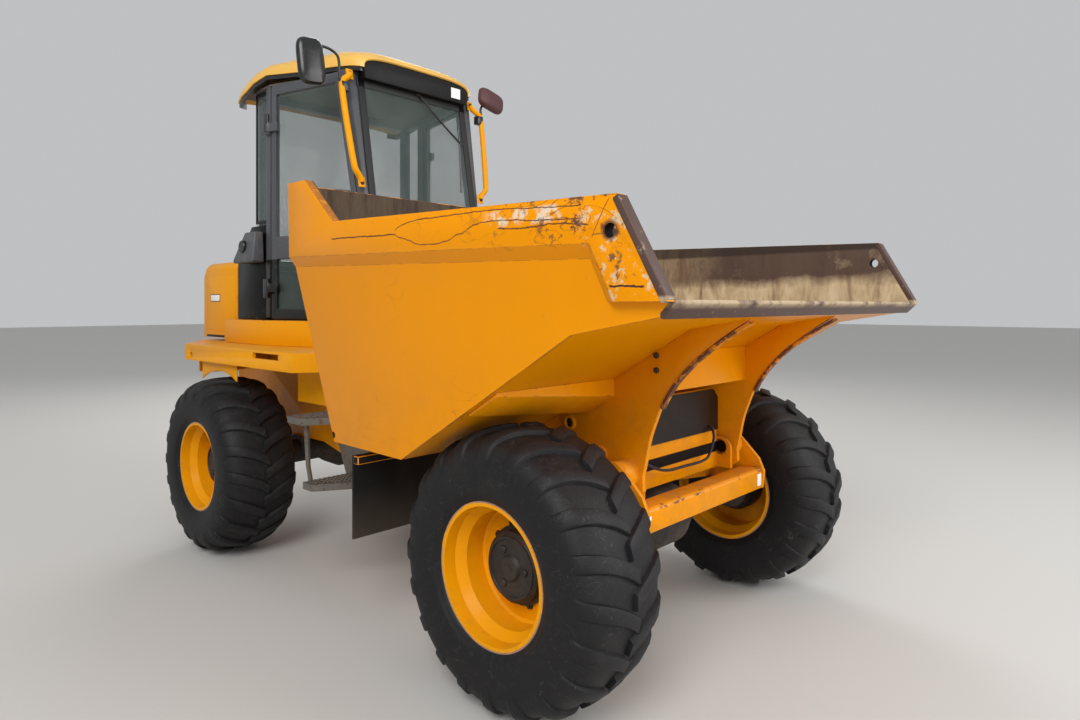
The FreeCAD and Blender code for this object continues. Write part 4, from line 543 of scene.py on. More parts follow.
def grimy(name, colour, rough, metal, mud):
    """Rough cast or forged metal under mud, with rust in spots."""
    finish = Finish(name, colour, rough, metal)
    finish.shade(finish.noise(7.0, 6.0, 0.6), 0.5)
    finish.cover(finish.blotches(0.44, 0.66, 6.0, 8.0, 0.7), MUD, 0.9, mud)
    finish.cover(finish.blotches(0.56, 0.66, 17.0, 7.0, 0.7), RUST_DARK, 0.8, 0.7)
    finish.bump(finish.noise(42.0, 7.0, 0.7), 0.0030, 0.6)
    return finish.done()


def step_steel():
    """Bare worn steel with mud and rust."""
    finish = Finish("step_steel", srgb(128, 124, 116), 0.5, 0.65)
    finish.shade(finish.noise(12.0, 6.0), -0.4)
    finish.cover(finish.blotches(0.46, 0.66, 8.0, 8.0, 0.7), srgb(120, 106, 88), 0.85, 0.7)
    finish.cover(chips(finish, 30.0, 0.56, 0.63), RUST, 0.8, 0.7)
    finish.bump(finish.noise(120.0, 5.0), 0.0008, 0.5)
    return finish.done()


def rod_chrome():
    finish = Finish("rod_chrome", srgb(205, 205, 208), 0.14, 1.0)
    finish.cover(finish.blotches(0.5, 0.75, 6.0, 6.0), srgb(120, 112, 100), 0.45, 0.3)
    finish.bump(finish.noise(300.0), 0.0001, 0.3)
    return finish.done()


def roof_moulding():
    """Pale yellow moulding, dirty on top."""
    finish = Finish("roof_moulding", srgb(240, 186, 84), 0.40)
    finish.shade(finish.noise(2.0, 4.0), -0.12)
    film = finish.both(finish.facing_up(0.2, 0.9), finish.blotches(0.4, 0.75, 5.0, 7.0, 0.66))
    finish.cover(film, srgb(170, 148, 104), 0.8, 0.6)
    finish.cover(chips(finish, 38.0, 0.66, 0.7), srgb(96, 84, 66), 0.8, 0.7)
    finish.bump(finish.noise(120.0, 3.0), 0.0004, 0.3)
    return finish.done()


def tinted_glass():
    """Thin tinted glass with a haze of dust."""
    finish = Finish("tinted_glass", srgb(92, 108, 104), 0.06, Alpha=0.24, Specular_IOR_Level=0.6)
    finish.cover(finish.blotches(0.46, 0.8, 4.0, 6.0, 0.62), srgb(176, 178, 170), 0.35, 0.30)
    material = finish.done()
    material.surface_render_method = "BLENDED"
    return material


def seat_cloth():
    """Woven cloth, faded in patches."""
    finish = Finish("seat_cloth", srgb(40, 41, 46), 0.9, Sheen_Weight=0.3)
    across, upright = finish.waves(160.0, "Y"), finish.waves(160.0, "Z")
    finish.shade(finish.both(across, upright), 0.5)
    finish.cover(finish.blotches(0.5, 0.75, 7.0, 6.0), srgb(92, 86, 78), 0.95, 0.4)
    finish.bump(finish.maths("MULTIPLY", across, upright), 0.0006, 0.6)
    return finish.done()


def lamp_lens():
    """A red ribbed lens."""
    finish = Finish("lamp_lens", srgb(150, 18, 16), 0.2, Coat_Weight=0.6)
    ribs = finish.waves(60.0, "Y")
    finish.shade(ribs, 0.3)
    finish.bump(ribs, 0.0008, 0.6)
    return finish.done()


def clean_sticker():
    finish = Finish("clean_sticker", srgb(238, 238, 234), 0.45)
    finish.shade(finish.noise(14.0, 5.0), -0.08)
    return finish.done()


def mirror_silver():
    finish = Finish("mirror_silver", srgb(190, 196, 200), 0.08, 1.0)
    finish.shade(finish.noise(9.0, 5.0), -0.25)
    return finish.done()


def mirror_housing_aged():
    """A black housing faded to brown."""
    finish = Finish("mirror_housing_aged", srgb(74, 38, 40), 0.5)
    finish.shade(finish.noise(12.0, 6.0), 0.4)
    finish.bump(finish.noise(200.0), 0.0003, 0.3)
    return finish.done()


BODY = enamel("body_enamel", YELLOW).done()
CAB_YELLOW = enamel("cab_body_enamel", srgb(240, 160, 4), 0.25, 0.4).done()
EDGE = worn_edge("edge_worn", 0.15)
EDGE_HARD = worn_edge("edge_rusted", 0.75)
SKIP_PAINT = skip_enamel()
LIP_STEEL = lip_steel()
CAB_FRAME = cab_frame_paint()
BLACK_MOULDING = black_moulding()
POD_MOULDING = pod_moulding()
SEAL = rubber_seal()
TYRE = tyre_rubber()
HUB = grimy("hub_casting", srgb(34, 32, 31), 0.5, 0.35, 0.30)
AXLE = grimy("axle_casting", srgb(44, 40, 37), 0.65, 0.2, 0.75)
ENGINE = grimy("engine_casting", srgb(70, 72, 76), 0.55, 0.3, 0.35)
FASTENER = grimy("fastener_steel", srgb(62, 56, 50), 0.45, 0.7, 0.3)
RAM_PAINT = grimy("ram_enamel", srgb(38, 38, 38), 0.4, 0.1, 0.35)
ROD = rod_chrome()
STEP = step_steel()
ROOF_PAINT = roof_moulding()
GLASS = tinted_glass()
CLOTH = seat_cloth()
CLEAN = clean_sticker()

NODE_FINISH = {
    "skip_floor": SKIP_PAINT, "skip_sides": SKIP_PAINT, "skip_ribs": BODY, "skip_braces": BODY,
    "front_frame": front_frame_enamel(), "flap_arms": flap_arm_enamel(), "front_crossbar": BODY,
    "front_axle": AXLE, "tower_cover": tower_cover_brown(), "mudflaps": flap_rubber(),
    "tip_ram_barrel": RAM_PAINT, "tip_ram_rod": ROD, "steer_ram_barrel": RAM_PAINT, "steer_ram_rod": ROD,
    "rear_frame": BODY, "side_decks": CAB_YELLOW, "rear_skirts": CAB_YELLOW, "side_tanks": CAB_YELLOW,
    "rear_axle": AXLE, "steps": STEP, "engine": ENGINE, "tail_lamps": lamp_lens(),
    "cab_plinth": CAB_YELLOW, "cab_frame": CAB_FRAME, "cab_roof": ROOF_PAINT, "windscreen": GLASS,
    "cab_windows": GLASS, "cab_panels": panel_gloss(), "seat": CLOTH, "console": BLACK_MOULDING,
    "steering_wheel": BLACK_MOULDING, "grab_rails": CAB_YELLOW, "mirrors": BLACK_MOULDING,
    "air_cleaner": POD_MOULDING, "door_left": CAB_FRAME, "door_right": CAB_FRAME,
    "door_left_glass": GLASS, "door_right_glass": GLASS, "bonnet": CAB_YELLOW,
    "bonnet_grille": BLACK_MOULDING, "bonnet_posts": CAB_FRAME,
}
RIM_PAINT = rim_enamel()
for corner in CORNERS:
    NODE_FINISH.update({f"tyre_{corner}": TYRE, f"rim_{corner}": RIM_PAINT, f"hub_{corner}": HUB})
for name, finish in NODE_FINISH.items():
    NODES[name].data.materials.clear()
    NODES[name].data.materials.append(finish)


# How a piece is made

def new_object(name, data, *finishes):
    obj = bpy.data.objects.new(name, data)
    bpy.context.scene.collection.objects.link(obj)
    for finish in finishes:
        data.materials.append(finish)
    return obj


def settle(obj, angle=32.0):
    """The object as a plain mesh at the origin, its modifiers applied and its faces smooth up to an angle."""
    bpy.context.view_layer.update()
    evaluated = obj.evaluated_get(bpy.context.evaluated_depsgraph_get())
    mesh = bpy.data.meshes.new_from_object(evaluated)
    mesh.transform(obj.matrix_world)
    name = obj.name
    materials = [slot.material for slot in obj.material_slots]
    bpy.data.objects.remove(obj)
    mesh.name = name
    made = new_object(name, mesh)
    if not mesh.materials:
        for material in materials:
            mesh.materials.append(material)
    mesh.shade_smooth()
    mesh.set_sharp_from_angle(angle=math.radians(angle))
    return made


def hold(obj, body, stands_for=None):
    """Gives a finished piece its body, and hides the CAD node that it stands for."""
    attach(obj, body)
    if stands_for:
        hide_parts(stands_for)
    return obj


def rounded(obj, width, segments, angle):
    """Rounds over the edges that turn by more than an angle."""
    bevel = obj.modifiers.new("edge", "BEVEL")
    bevel.width, bevel.segments = width, segments
    bevel.limit_method = "ANGLE"
    bevel.angle_limit = math.radians(angle)
    return bevel


def mesh_from(shell, name, outward=True):
    """A mesh made of a finished shell, its faces pointing outwards."""
    if outward:
        bmesh.ops.recalc_face_normals(shell, faces=shell.faces)
    mesh = bpy.data.meshes.new(name)
    shell.to_mesh(mesh)
    shell.free()
    return mesh


def eased(node, width, edge=None, segments=2):
    """A copy of a CAD node with its edges rounded over and worn, standing for the node."""
    shell = bmesh.new()
    shell.from_mesh(NODES[node].data)
    bmesh.ops.remove_doubles(shell, verts=shell.verts, dist=2e-5)
    bmesh.ops.dissolve_limit(shell, angle_limit=math.radians(0.6), verts=shell.verts, edges=shell.edges)
    bmesh.ops.connect_verts_concave(shell, faces=shell.faces)
    mesh = mesh_from(shell, f"{node}_dressed", outward=False)
    finishes = [NODE_FINISH[node]] + ([edge] if edge else [])
    obj = new_object(f"{node}_dressed", mesh, *finishes)
    for face in mesh.polygons:
        face.material_index = 0
    bevel = rounded(obj, width, segments, 34)
    bevel.use_clamp_overlap = True
    bevel.miter_outer = "MITER_ARC"
    if edge:
        bevel.material = 1
    return hold(settle(obj), BODY_OF[node], node)


def tidy_normals(mesh):
    shell = bmesh.new()
    shell.from_mesh(mesh)
    bmesh.ops.remove_doubles(shell, verts=shell.verts, dist=1e-5)
    bmesh.ops.recalc_face_normals(shell, faces=shell.faces)
    shell.to_mesh(mesh)
    shell.free()


def turned_mesh(name, profile, steps, axis="Y", closed=False):
    """A surface of revolution: profile is (across, radius), about the axis through the origin."""
    points, faces = [], []
    count = len(profile)
    for step_at in range(steps):
        turn = 2 * math.pi * step_at / steps
        for across, radius in profile:
            if axis == "Y":
                points.append((radius * math.sin(turn), across, radius * math.cos(turn)))
            else:
                points.append((radius * math.cos(turn), radius * math.sin(turn), across))
    for step_at in range(steps):
        here, after = step_at * count, (step_at + 1) % steps * count
        for i in range(count if closed else count - 1):
            j = (i + 1) % count
            faces.append((here + i, after + i, after + j, here + j))
    mesh = bpy.data.meshes.new(name)
    mesh.from_pydata(points, [], faces)
    tidy_normals(mesh)
    return mesh


def turned(name, profile, finish, place, steps=24, axis="Y", turn=(0.0, 0.0, 0.0)):
    """A turned piece, set at its place."""
    obj = new_object(name, turned_mesh(name, profile, steps, axis), finish)
    obj.rotation_euler = turn
    obj.location = place
    return settle(obj)


def nut_profile(across, height):
    """A nut with a domed stud through it: turned in six steps, it has six sides."""
    radius = across / math.sqrt(3)
    return [(0.0, radius), (height * 0.8, radius), (height, radius * 0.86), (height, radius * 0.5),
            (height * 1.35, radius * 0.48), (height * 1.5, radius * 0.3), (height * 1.5, 0.0)]


def slab(name, corners, plane, low, high, finish, ease=0.0, segments=2):
    """A plate: an outline on a plane, given its thickness from low to high, with eased edges."""
    order = {"XZ": (0, 2, 1), "XY": (0, 1, 2), "YZ": (1, 2, 0)}[plane]

    def place(across, up, out):
        point = [0.0, 0.0, 0.0]
        point[order[0]], point[order[1]], point[order[2]] = across, up, out
        return point

    points = [place(*corner, low) for corner in corners] + [place(*corner, high) for corner in corners]
    count = len(corners)
    faces = [tuple(range(count)), tuple(range(2 * count - 1, count - 1, -1))]
    faces += [(i, (i + 1) % count, (i + 1) % count + count, i + count) for i in range(count)]
    mesh = bpy.data.meshes.new(name)
    mesh.from_pydata(points, [], faces)
    tidy_normals(mesh)
    obj = new_object(name, mesh, finish)
    if ease:
        rounded(obj, ease, segments, 20)
    return settle(obj)


def side_plate(name, outline, inner, outer, finish, ease=0.0, segments=2, side=1):
    """A plate seen from the side, outlined in x and z, from inner to outer on one side."""
    corners = [(front(x, 0, z).x, z / 1000) for x, z in outline]
    low, high = sorted((side * inner / 1000, side * outer / 1000))
    return slab(name, corners, "XZ", low, high, finish, ease, segments)


def front_plate(name, outline, back, ahead, finish, ease=0.0):
    """A plate seen from ahead, outlined in y and z."""
    corners = [(y / 1000, z / 1000) for y, z in outline]
    return slab(name, corners, "YZ", front(back, 0, 0).x, front(ahead, 0, 0).x, finish, ease)


def oblong(x0, x1, z0, z1):
    return [(x0, z0), (x1, z0), (x1, z1), (x0, z1)]


def skin(shell, rings, closed):
    """Faces between each ring of points and the next. Gives the rings back as vertices."""
    rows = [[shell.verts.new(point) for point in ring] for ring in rings]
    count = len(rows[0])
    for near, far in zip(rows, rows[1:]):
        for i in range(count if closed else count - 1):
            j = (i + 1) % count
            shell.faces.new((near[i], near[j], far[j], far[i]))
    return rows


def loft_mesh(name, rings, closed):
    """A skin through rings of points; closed rings are capped at both ends."""
    shell = bmesh.new()
    rows = skin(shell, rings, closed)
    if closed:
        shell.faces.new(rows[0])
        shell.faces.new(list(reversed(rows[-1])))
    return mesh_from(shell, name)


def bar(name, points, radius, finish, sides=6):
    """A round bar or pipe along a line of points, its bends eased."""
    curve = bpy.data.curves.new(name, "CURVE")
    curve.dimensions = "3D"
    line = curve.splines.new("NURBS")
    line.points.add(len(points) - 1)
    for place, point in zip(points, line.points):
        point.co = (*place, 1.0)
    line.order_u = 3
    line.use_endpoint_u = True
    line.resolution_u = 6
    curve.bevel_depth = radius
    curve.bevel_resolution = sides // 2
    curve.use_fill_caps = True
    made = settle(new_object(name, curve))
    made.data.materials.clear()
    made.data.materials.append(finish)
    return made


def joined(name, *objects):
    """Several finished pieces as one."""
    finishes = []
    shell = bmesh.new()
    for obj in objects:
        start = len(shell.faces)
        shell.from_mesh(obj.data)
        shell.faces.ensure_lookup_table()
        own = list(obj.data.materials)
        for finish in own:
            if finish not in finishes:
                finishes.append(finish)
        for face in shell.faces[start:]:
            face.material_index = finishes.index(own[face.material_index])
    mesh = mesh_from(shell, name, outward=False)
    for obj in objects:
        bpy.data.objects.remove(obj)
    return new_object(name, mesh, *finishes)


def copies_tree():
    """Copies of a piece set on a line and then turned in equal steps about an axis."""
    tree = bpy.data.node_groups.new("copies_round_axis", "GeometryNodeTree")
    for size, kind in (("Geometry", "Geometry"), ("Count", "Int"), ("Step", "Vector"), ("Shift", "Vector"),
                       ("Finish", "Material")):
        tree.interface.new_socket(size, in_out="INPUT", socket_type=f"NodeSocket{kind}")
    tree.interface.new_socket("Geometry", in_out="OUTPUT", socket_type="NodeSocketGeometry")
    start, end = tree.nodes.new("NodeGroupInput"), tree.nodes.new("NodeGroupOutput")
    points = tree.nodes.new("GeometryNodePoints")
    index = tree.nodes.new("GeometryNodeInputIndex")
    turn = tree.nodes.new("ShaderNodeVectorMath")
    move = tree.nodes.new("ShaderNodeVectorMath")
    turn.operation = move.operation = "SCALE"
    place = tree.nodes.new("GeometryNodeSetPosition")
    copies = tree.nodes.new("GeometryNodeInstanceOnPoints")
    real = tree.nodes.new("GeometryNodeRealizeInstances")
    paint = tree.nodes.new("GeometryNodeSetMaterial")
    for source, target in (
            (start.outputs["Count"], points.inputs["Count"]),
            (start.outputs["Step"], turn.inputs[0]),
            (index.outputs[0], turn.inputs["Scale"]),
            (start.outputs["Shift"], move.inputs[0]),
            (index.outputs[0], move.inputs["Scale"]),
            (points.outputs[0], place.inputs["Geometry"]),
            (move.outputs[0], place.inputs["Offset"]),
            (place.outputs[0], copies.inputs["Points"]),
            (start.outputs["Geometry"], copies.inputs["Instance"]),
            (turn.outputs[0], copies.inputs["Rotation"]),
            (copies.outputs[0], real.inputs[0]),
            (real.outputs[0], paint.inputs["Geometry"]),
            (start.outputs["Finish"], paint.inputs["Material"]),
            (paint.outputs[0], end.inputs[0])):
        tree.links.new(source, target)
    return tree


COPIES = copies_tree()


def repeated(name, mesh, finish, count, place, step=(0.0, 0.0, 0.0), shift=(0.0, 0.0, 0.0)):
    """Copies of a small mesh, each turned by step and moved by shift from the one before."""
    obj = new_object(name, mesh, finish)
    maker = obj.modifiers.new("copies", "NODES")
    maker.node_group = COPIES
    wanted = {"Count": count, "Step": step, "Shift": shift, "Finish": finish}
    for item in COPIES.interface.items_tree:
        if item.name in wanted:
            maker[item.identifier] = wanted[item.name]
    obj.location = place
    return settle(obj)


# The machine's own pieces, their edges eased and worn

# the ribs' front edge: the arc's middle and radius, then how far it is drawn back at each height
RIB_ARC_X, RIB_ARC_Z, RIB_ARC_RADIUS = 1655, 367, 1500
DRAWN_BACK = [(900, 0), (956, 6), (1071, 35), (1169, 52), (1255, 71), (1335, 79), (1425, 72), (1515, 50),
              (1600, 25), (1680, 0)]
SKIRT_FRONT = REAR_AXLE + 0.262


def drawn_back(height):
    """How far the ribs' front edge lies behind its arc at a height, in millimetres."""
    for (z0, d0), (z1, d1) in zip(DRAWN_BACK, DRAWN_BACK[1:]):
        if z0 <= height <= z1:
            return d0 + (d1 - d0) * (height - z0) / (z1 - z0)
    return 0.0


def tighten_ribs(ribs):
    """Draws the ribs' front edges back to a tighter curve."""
    low, high, edge_deep = 900, 1680, 28
    for vertex in ribs.data.vertices:
        x, z = (vertex.co.x - FRONT_AXLE) * 1000, vertex.co.z * 1000
        from_arc = abs(math.hypot(x - RIB_ARC_X, z - RIB_ARC_Z) - RIB_ARC_RADIUS)
        if low < z < high and from_arc < edge_deep:
            vertex.co.x -= drawn_back(z) / 1000


def shorten_skirts(skirts):
    """Cuts the skirts off square just ahead of the rear axle."""
    shell = bmesh.new()
    shell.from_mesh(skirts.data)
    everything = shell.verts[:] + shell.edges[:] + shell.faces[:]
    cut = bmesh.ops.bisect_plane(shell, geom=everything, clear_outer=True,
                                 plane_co=(SKIRT_FRONT, 0.0, 0.0), plane_no=(1.0, 0.0, 0.0))
    open_edges = [edge for edge in cut["geom_cut"] if isinstance(edge, bmesh.types.BMEdge)]
    bmesh.ops.holes_fill(shell, edges=open_edges)
    shell.to_mesh(skirts.data)
    shell.free()


eased("skip_floor", 0.003, EDGE_HARD)
eased("skip_sides", 0.004, EDGE_HARD)
tighten_ribs(eased("skip_ribs", 0.003, EDGE))
eased("skip_braces", 0.004, EDGE)
eased("front_frame", 0.003, EDGE)
eased("front_crossbar", 0.006, EDGE)
eased("flap_arms", 0.004, EDGE)
eased("rear_frame", 0.004)
eased("side_decks", 0.0035, EDGE)
shorten_skirts(eased("rear_skirts", 0.002))
eased("side_tanks", 0.012)
eased("cab_plinth", 0.0045, EDGE)
eased("bonnet", 0.003, EDGE)
eased("cab_frame", 0.004)
eased("cab_panels", 0.006)
eased("console", 0.012, segments=3)
eased("door_left", 0.004)
eased("door_right", 0.004)
eased("engine", 0.02)

# Wheels: a casing with a full wall, curved lugs set round it in two staggered halves, and the hub's fittings

LUG_COUNT = 20
PITCH = 2 * math.pi / LUG_COUNT
# across from the tyre's middle and radius, from the bead out to the crown
WALL = [
    (0.2000, 0.2846), (0.2150, 0.2990), (0.2230, 0.3080), (0.2265, 0.3200), (0.2320, 0.3240),
    (0.2345, 0.3320), (0.2390, 0.3520), (0.2425, 0.3800), (0.2440, 0.4050), (0.2440, 0.4300),
    (0.2405, 0.4580), (0.2330, 0.4840), (0.2210, 0.5060), (0.2020, 0.5250), (0.1740, 0.5410),
    (0.1300, 0.5540), (0.0700, 0.5615), (0.0, 0.5630)]
# lug stations: across, root radius, tip radius, lag in pitches, half width at the tip
LUG = [
    (-0.012, 0.552, 0.5835, -0.03, 0.0300), (0.020, 0.551, 0.5840, 0.09, 0.0300),
    (0.060, 0.549, 0.5830, 0.22, 0.0300), (0.125, 0.542, 0.5755, 0.385, 0.0310),
    (0.172, 0.530, 0.5605, 0.475, 0.0320), (0.202, 0.514, 0.5430, 0.525, 0.0325),
    (0.2225, 0.495, 0.5215, 0.56, 0.0320), (0.2360, 0.474, 0.4960, 0.585, 0.0300),
    (0.2425, 0.450, 0.4660, 0.60, 0.0250), (0.2430, 0.428, 0.4400, 0.61, 0.0150)]
# a lug's section on one flank: depth below its tip and share of the half width; None is the root
FLANK = [(None, 1.30), (0.010, 1.06), (0.0028, 0.96), (0.0, 0.76)]
NUT_RING, NUT_COUNT, NUT_SEAT = 0.1665, 10, 0.0195
BOSS_RING, BOSS_COUNT, HUB_FACE = 0.080, 3, 0.0870
BOSS = [(0.0, 0.017), (0.008, 0.0155), (0.011, 0.012), (0.011, 0.0)]
HUB_RIDGE = [(0.0860, 0.1310), (0.0935, 0.1285), (0.0945, 0.1190), (0.0870, 0.1150)]
HUB_CAP = [(0.0860, 0.0500), (0.0980, 0.0480), (0.1010, 0.0430), (0.0960, 0.0330), (0.0960, 0.0180),
           (0.1040, 0.0165), (0.1040, 0.0)]


def lug_mesh(side):
    """One lug of the tread, curving back from the middle out over the shoulder."""
    rings = []
    for across, root, tip, lag, half in LUG:
        section = [(-share, depth) for depth, share in FLANK]
        section += [(share, depth) for depth, share in reversed(FLANK)]
        ring = []
        for reach, depth in section:
            radius = root if depth is None else tip - depth
            turn = lag * PITCH + reach * half / tip
            ring.append((radius * math.sin(turn), side * across, -radius * math.cos(turn)))
        rings.append(ring)
    return loft_mesh("lug", rings, closed=True)


def dressed_tyre(corner, hub):
    wall = [(-across, radius) for across, radius in WALL] + list(reversed(WALL[:-1]))
    casing = new_object("casing", turned_mesh("casing", wall, 96, closed=True), TYRE)
    casing.location = hub
    pieces = [settle(casing, 40)]
    for half, lag in ((1, 0.0), (-1, PITCH / 2)):
        row = repeated("lugs", lug_mesh(half), TYRE, LUG_COUNT, hub, step=(0.0, -PITCH, 0.0))
        if lag:
            back = Matrix.Translation([-place for place in hub])
            row.data.transform(Matrix.Translation(hub) @ Matrix.Rotation(-lag, 4, "Y") @ back)
        pieces.append(row)
    tyre = joined(f"tyre_{corner}_dressed", *pieces)
    tyre.data.shade_smooth()
    tyre.data.set_sharp_from_angle(angle=math.radians(38))
    hold(tyre, f"wheel_{corner}", f"tyre_{corner}")


def hub_fittings(corner, ahead, side):
    """Wheel nuts round the disc, and a raised ring, bosses and a plug on the hub's face."""
    outward = (0.0, 0.0, 0.0 if side > 0 else math.pi)
    middle = (ahead, side * TRACK_HALF, AXLE_HEIGHT)

    def ring_of(name, mesh, radius, count, across, finish):
        if side < 0:
            mesh.transform(Matrix.Rotation(math.pi, 4, "X"))
        mesh.transform(Matrix.Translation((radius, 0.0, 0.0)))
        place = (ahead, side * (TRACK_HALF + across), AXLE_HEIGHT)
        return repeated(name, mesh, finish, count, place, step=(0.0, 2 * math.pi / count, 0.0))

    nut = turned_mesh("nut", nut_profile(0.027, 0.016), 6)
    fittings = joined(f"wheel_nuts_{corner}",
                      ring_of("nuts", nut, NUT_RING, NUT_COUNT, NUT_SEAT, FASTENER),
                      ring_of("bosses", turned_mesh("boss", BOSS, 16), BOSS_RING, BOSS_COUNT, HUB_FACE, HUB),
                      turned("ridge", HUB_RIDGE, HUB, middle, 48, turn=outward),
                      turned("cap", HUB_CAP, HUB, middle, 48, turn=outward))
    hold(fittings, f"wheel_{corner}")


for corner, (ahead, side) in CORNERS.items():
    dressed_tyre(corner, (ahead, side * TRACK_HALF, AXLE_HEIGHT))
    hub_fittings(corner, ahead, side)

# Rim band: a rolled strip down each front post and a bar along the lip, rubbed brown

POST_FOOT = Vector((911, 1684))
POST_HEAD = Vector((725, 2022))
STRIP_PROUD, STRIP_DEEP = 6, 22
STRIP_INNER, STRIP_OUTER = 1228, 1280
LIP_BAR = [(862, 1628), (872, 1624), (925, 1674), (923, 1686), (900, 1686), (860, 1645)]
LIP_HALF = 1240.5


def rim_edge_strips():
    run = (POST_HEAD - POST_FOOT).normalized()
    outward = Vector((run.y, -run.x))
    strip = [POST_FOOT - outward * STRIP_DEEP, POST_FOOT + outward * STRIP_PROUD,
             POST_HEAD + outward * STRIP_PROUD, POST_HEAD - outward * STRIP_DEEP]
    strips = [side_plate("post_strip", strip, STRIP_INNER, STRIP_OUTER, LIP_STEEL, 0.0045, 3, side)
              for side in (1, -1)]
    strips.append(side_plate("lip_bar", LIP_BAR, -LIP_HALF, LIP_HALF, LIP_STEEL, 0.004, 3))
    hold(joined("rim_edge_strips", *strips), "skip")


rim_edge_strips()

# Windows: rubber round the windscreen and the quarter panes

SCREEN_FOOT_X, SCREEN_FOOT_Z = -1735, 1560
SCREEN_RAKE = 300 / 1665
FACING_SCREEN = (0.0, math.radians(80), 0.0)
# windscreen seals as y0, y1, z0, z1; pane seals as x0, x1, z0, z1
SCREEN_SEALS = ((-456, 456, 1846, 1900), (-470, 470, 3120, 3221), (-462, -412, 1860, 3200),
                (412, 462, 1860, 3200))
PANE_SEALS = ((-3026, -2813, 2262, 2284), (-3026, -2813, 3190, 3212), (-3030, -3008, 2262, 3212),
              (-2832, -2812, 2262, 3212))


def screen_x(z, out=0.0):
    """Where the windscreen's plane is at a height, or out millimetres ahead of it."""
    return SCREEN_FOOT_X - (z - SCREEN_FOOT_Z) * SCREEN_RAKE + out


def on_screen(y, z, out=0.0):
    return front(screen_x(z, out), y, z)


def along_screen(z0, z1, under, over):
    """The outline, from the side, of a strip that lies along the windscreen."""
    return [(screen_x(z, out), z) for z, out in ((z0, under), (z0, over), (z1, over), (z1, under))]


def window_seals():
    seals = [side_plate("screen_seal", along_screen(z0, z1, 3, 12), y0, y1, SEAL, 0.0015)
             for y0, y1, z0, z1 in SCREEN_SEALS]
    for side in (1, -1):
        for pane in PANE_SEALS:
            seals.append(side_plate("pane_seal", oblong(*pane), 660, 672, SEAL, 0.002, side=side))
    hold(joined("window_seals", *seals), "rear_chassis")


window_seals()

# Roof: a moulded shell, arched at the front, with a black band under its edge, a visor and a lining

# stations: x, half width, height of the edge, height of the crown
ROOF = [
    (-1945, 455, 3232, 3312), (-1965, 476, 3238, 3342), (-2020, 505, 3246, 3372), (-2150, 555, 3254, 3398),
    (-2450, 640, 3265, 3414), (-2750, 728, 3287, 3414), (-2900, 748, 3256, 3396), (-3000, 750, 3222, 3366),
    (-3100, 745, 3200, 3316), (-3200, 722, 3176, 3252), (-3250, 668, 3184, 3214)]
VISOR_ARCH = (-1955, 452, 3228, 3308)
VISOR_FOOT = [(-440, 3166), (440, 3166)]
VISOR_BACK, VISOR_FRONT = -2032, -1952
LINING_SIDE = [(-2040, 470), (-2750, 700), (-3190, 690)]
STICKER = (290, 375, 3192, 3266)


def squarer(value, power):
    """Bends a sine or cosine so that the curve it draws has fuller corners."""
    return math.copysign(abs(value) ** power, value)


def roof_ring(x, half, edge, crown, steps=36):
    """Points over the roof from side to side at one station, in millimetres."""
    ring = []
    for i in range(steps + 1):
        across, up = math.cos(math.pi * i / steps), math.sin(math.pi * i / steps)
        ring.append((x, squarer(across, 0.5) * half, edge + (crown - edge) * up ** 0.62))
    return ring


def roof_shell():
    rings = [[front(*point) for point in roof_ring(*station)] for station in ROOF]
    shell = new_object("roof_skin", loft_mesh("roof_skin", rings, closed=False), ROOF_PAINT)
    wall = shell.modifiers.new("wall", "SOLIDIFY")
    wall.thickness, wall.offset = 0.012, 0.0
    outline = [front(x, y, 0) for x, y in LINING_SIDE] + [front(x, -y, 0) for x, y in reversed(LINING_SIDE)]
    corners = [(point.x, point.y) for point in outline]
    lining = slab("roof_lining", corners, "XY", 3.2175, 3.2290, roof_lining())
    hold(joined("cab_roof_dressed", settle(shell, 50), lining), "rear_chassis", "cab_roof")


def roof_band_and_visor():
    bands = []
    for side in (1, -1):
        rings = []
        for x, half, edge, crown in ROOF[1:]:
            outer, inner, top, foot = side * (half - 4), side * (half - 30), edge + 10, edge - 28
            section = ((outer, top), (inner, top), (inner, foot), (outer, foot))
            rings.append([front(x, y, z) for y, z in section])
        band = loft_mesh("roof_band", rings, closed=True)
        bands.append(settle(new_object("roof_band", band, BLACK_MOULDING)))
    arch = [(y, z) for x, y, z in roof_ring(*VISOR_ARCH, steps=24)]
    bands.append(front_plate("roof_visor", arch + VISOR_FOOT, VISOR_BACK, VISOR_FRONT, visor_black(), 0.004))
    hold(joined("roof_band_and_visor", *bands), "rear_chassis")


roof_shell()
roof_band_and_visor()

# Wiper: a motor cap, a pair of arms, and a blade held at its middle

ARM = [on_screen(13, 3190, 26), on_screen(60, 3130, 32), on_screen(210, 2990, 30), on_screen(372, 2872, 22)]
BLADE = [on_screen(380, 3000, 15), on_screen(374, 2800, 17), on_screen(334, 2494, 15)]
MOTOR_CAP = [(0.0, 0.030), (0.020, 0.030), (0.030, 0.022), (0.032, 0.0)]
ARMS_APART = 0.022


def wiper():
    arms = [bar("wiper_arm", [point + Vector((0.0, shift, -shift)) for point in ARM], 0.005, BLACK_MOULDING)
            for shift in (0.0, ARMS_APART)]
    blade = bar("wiper_blade", BLADE, 0.007, BLACK_MOULDING)
    cap = turned("wiper_cap", MOTOR_CAP, BLACK_MOULDING, on_screen(20, 3180, 4), 24, "Z", FACING_SCREEN)
    hold(joined("wiper", *arms, blade, cap), "rear_chassis")


wiper()
hold(front_plate("blank_sticker", oblong(*STICKER), VISOR_FRONT - 0.5, VISOR_FRONT + 1.5, CLEAN),
     "rear_chassis")

# Mirrors: one head on a tall bent arm, the other folded flat on a short one

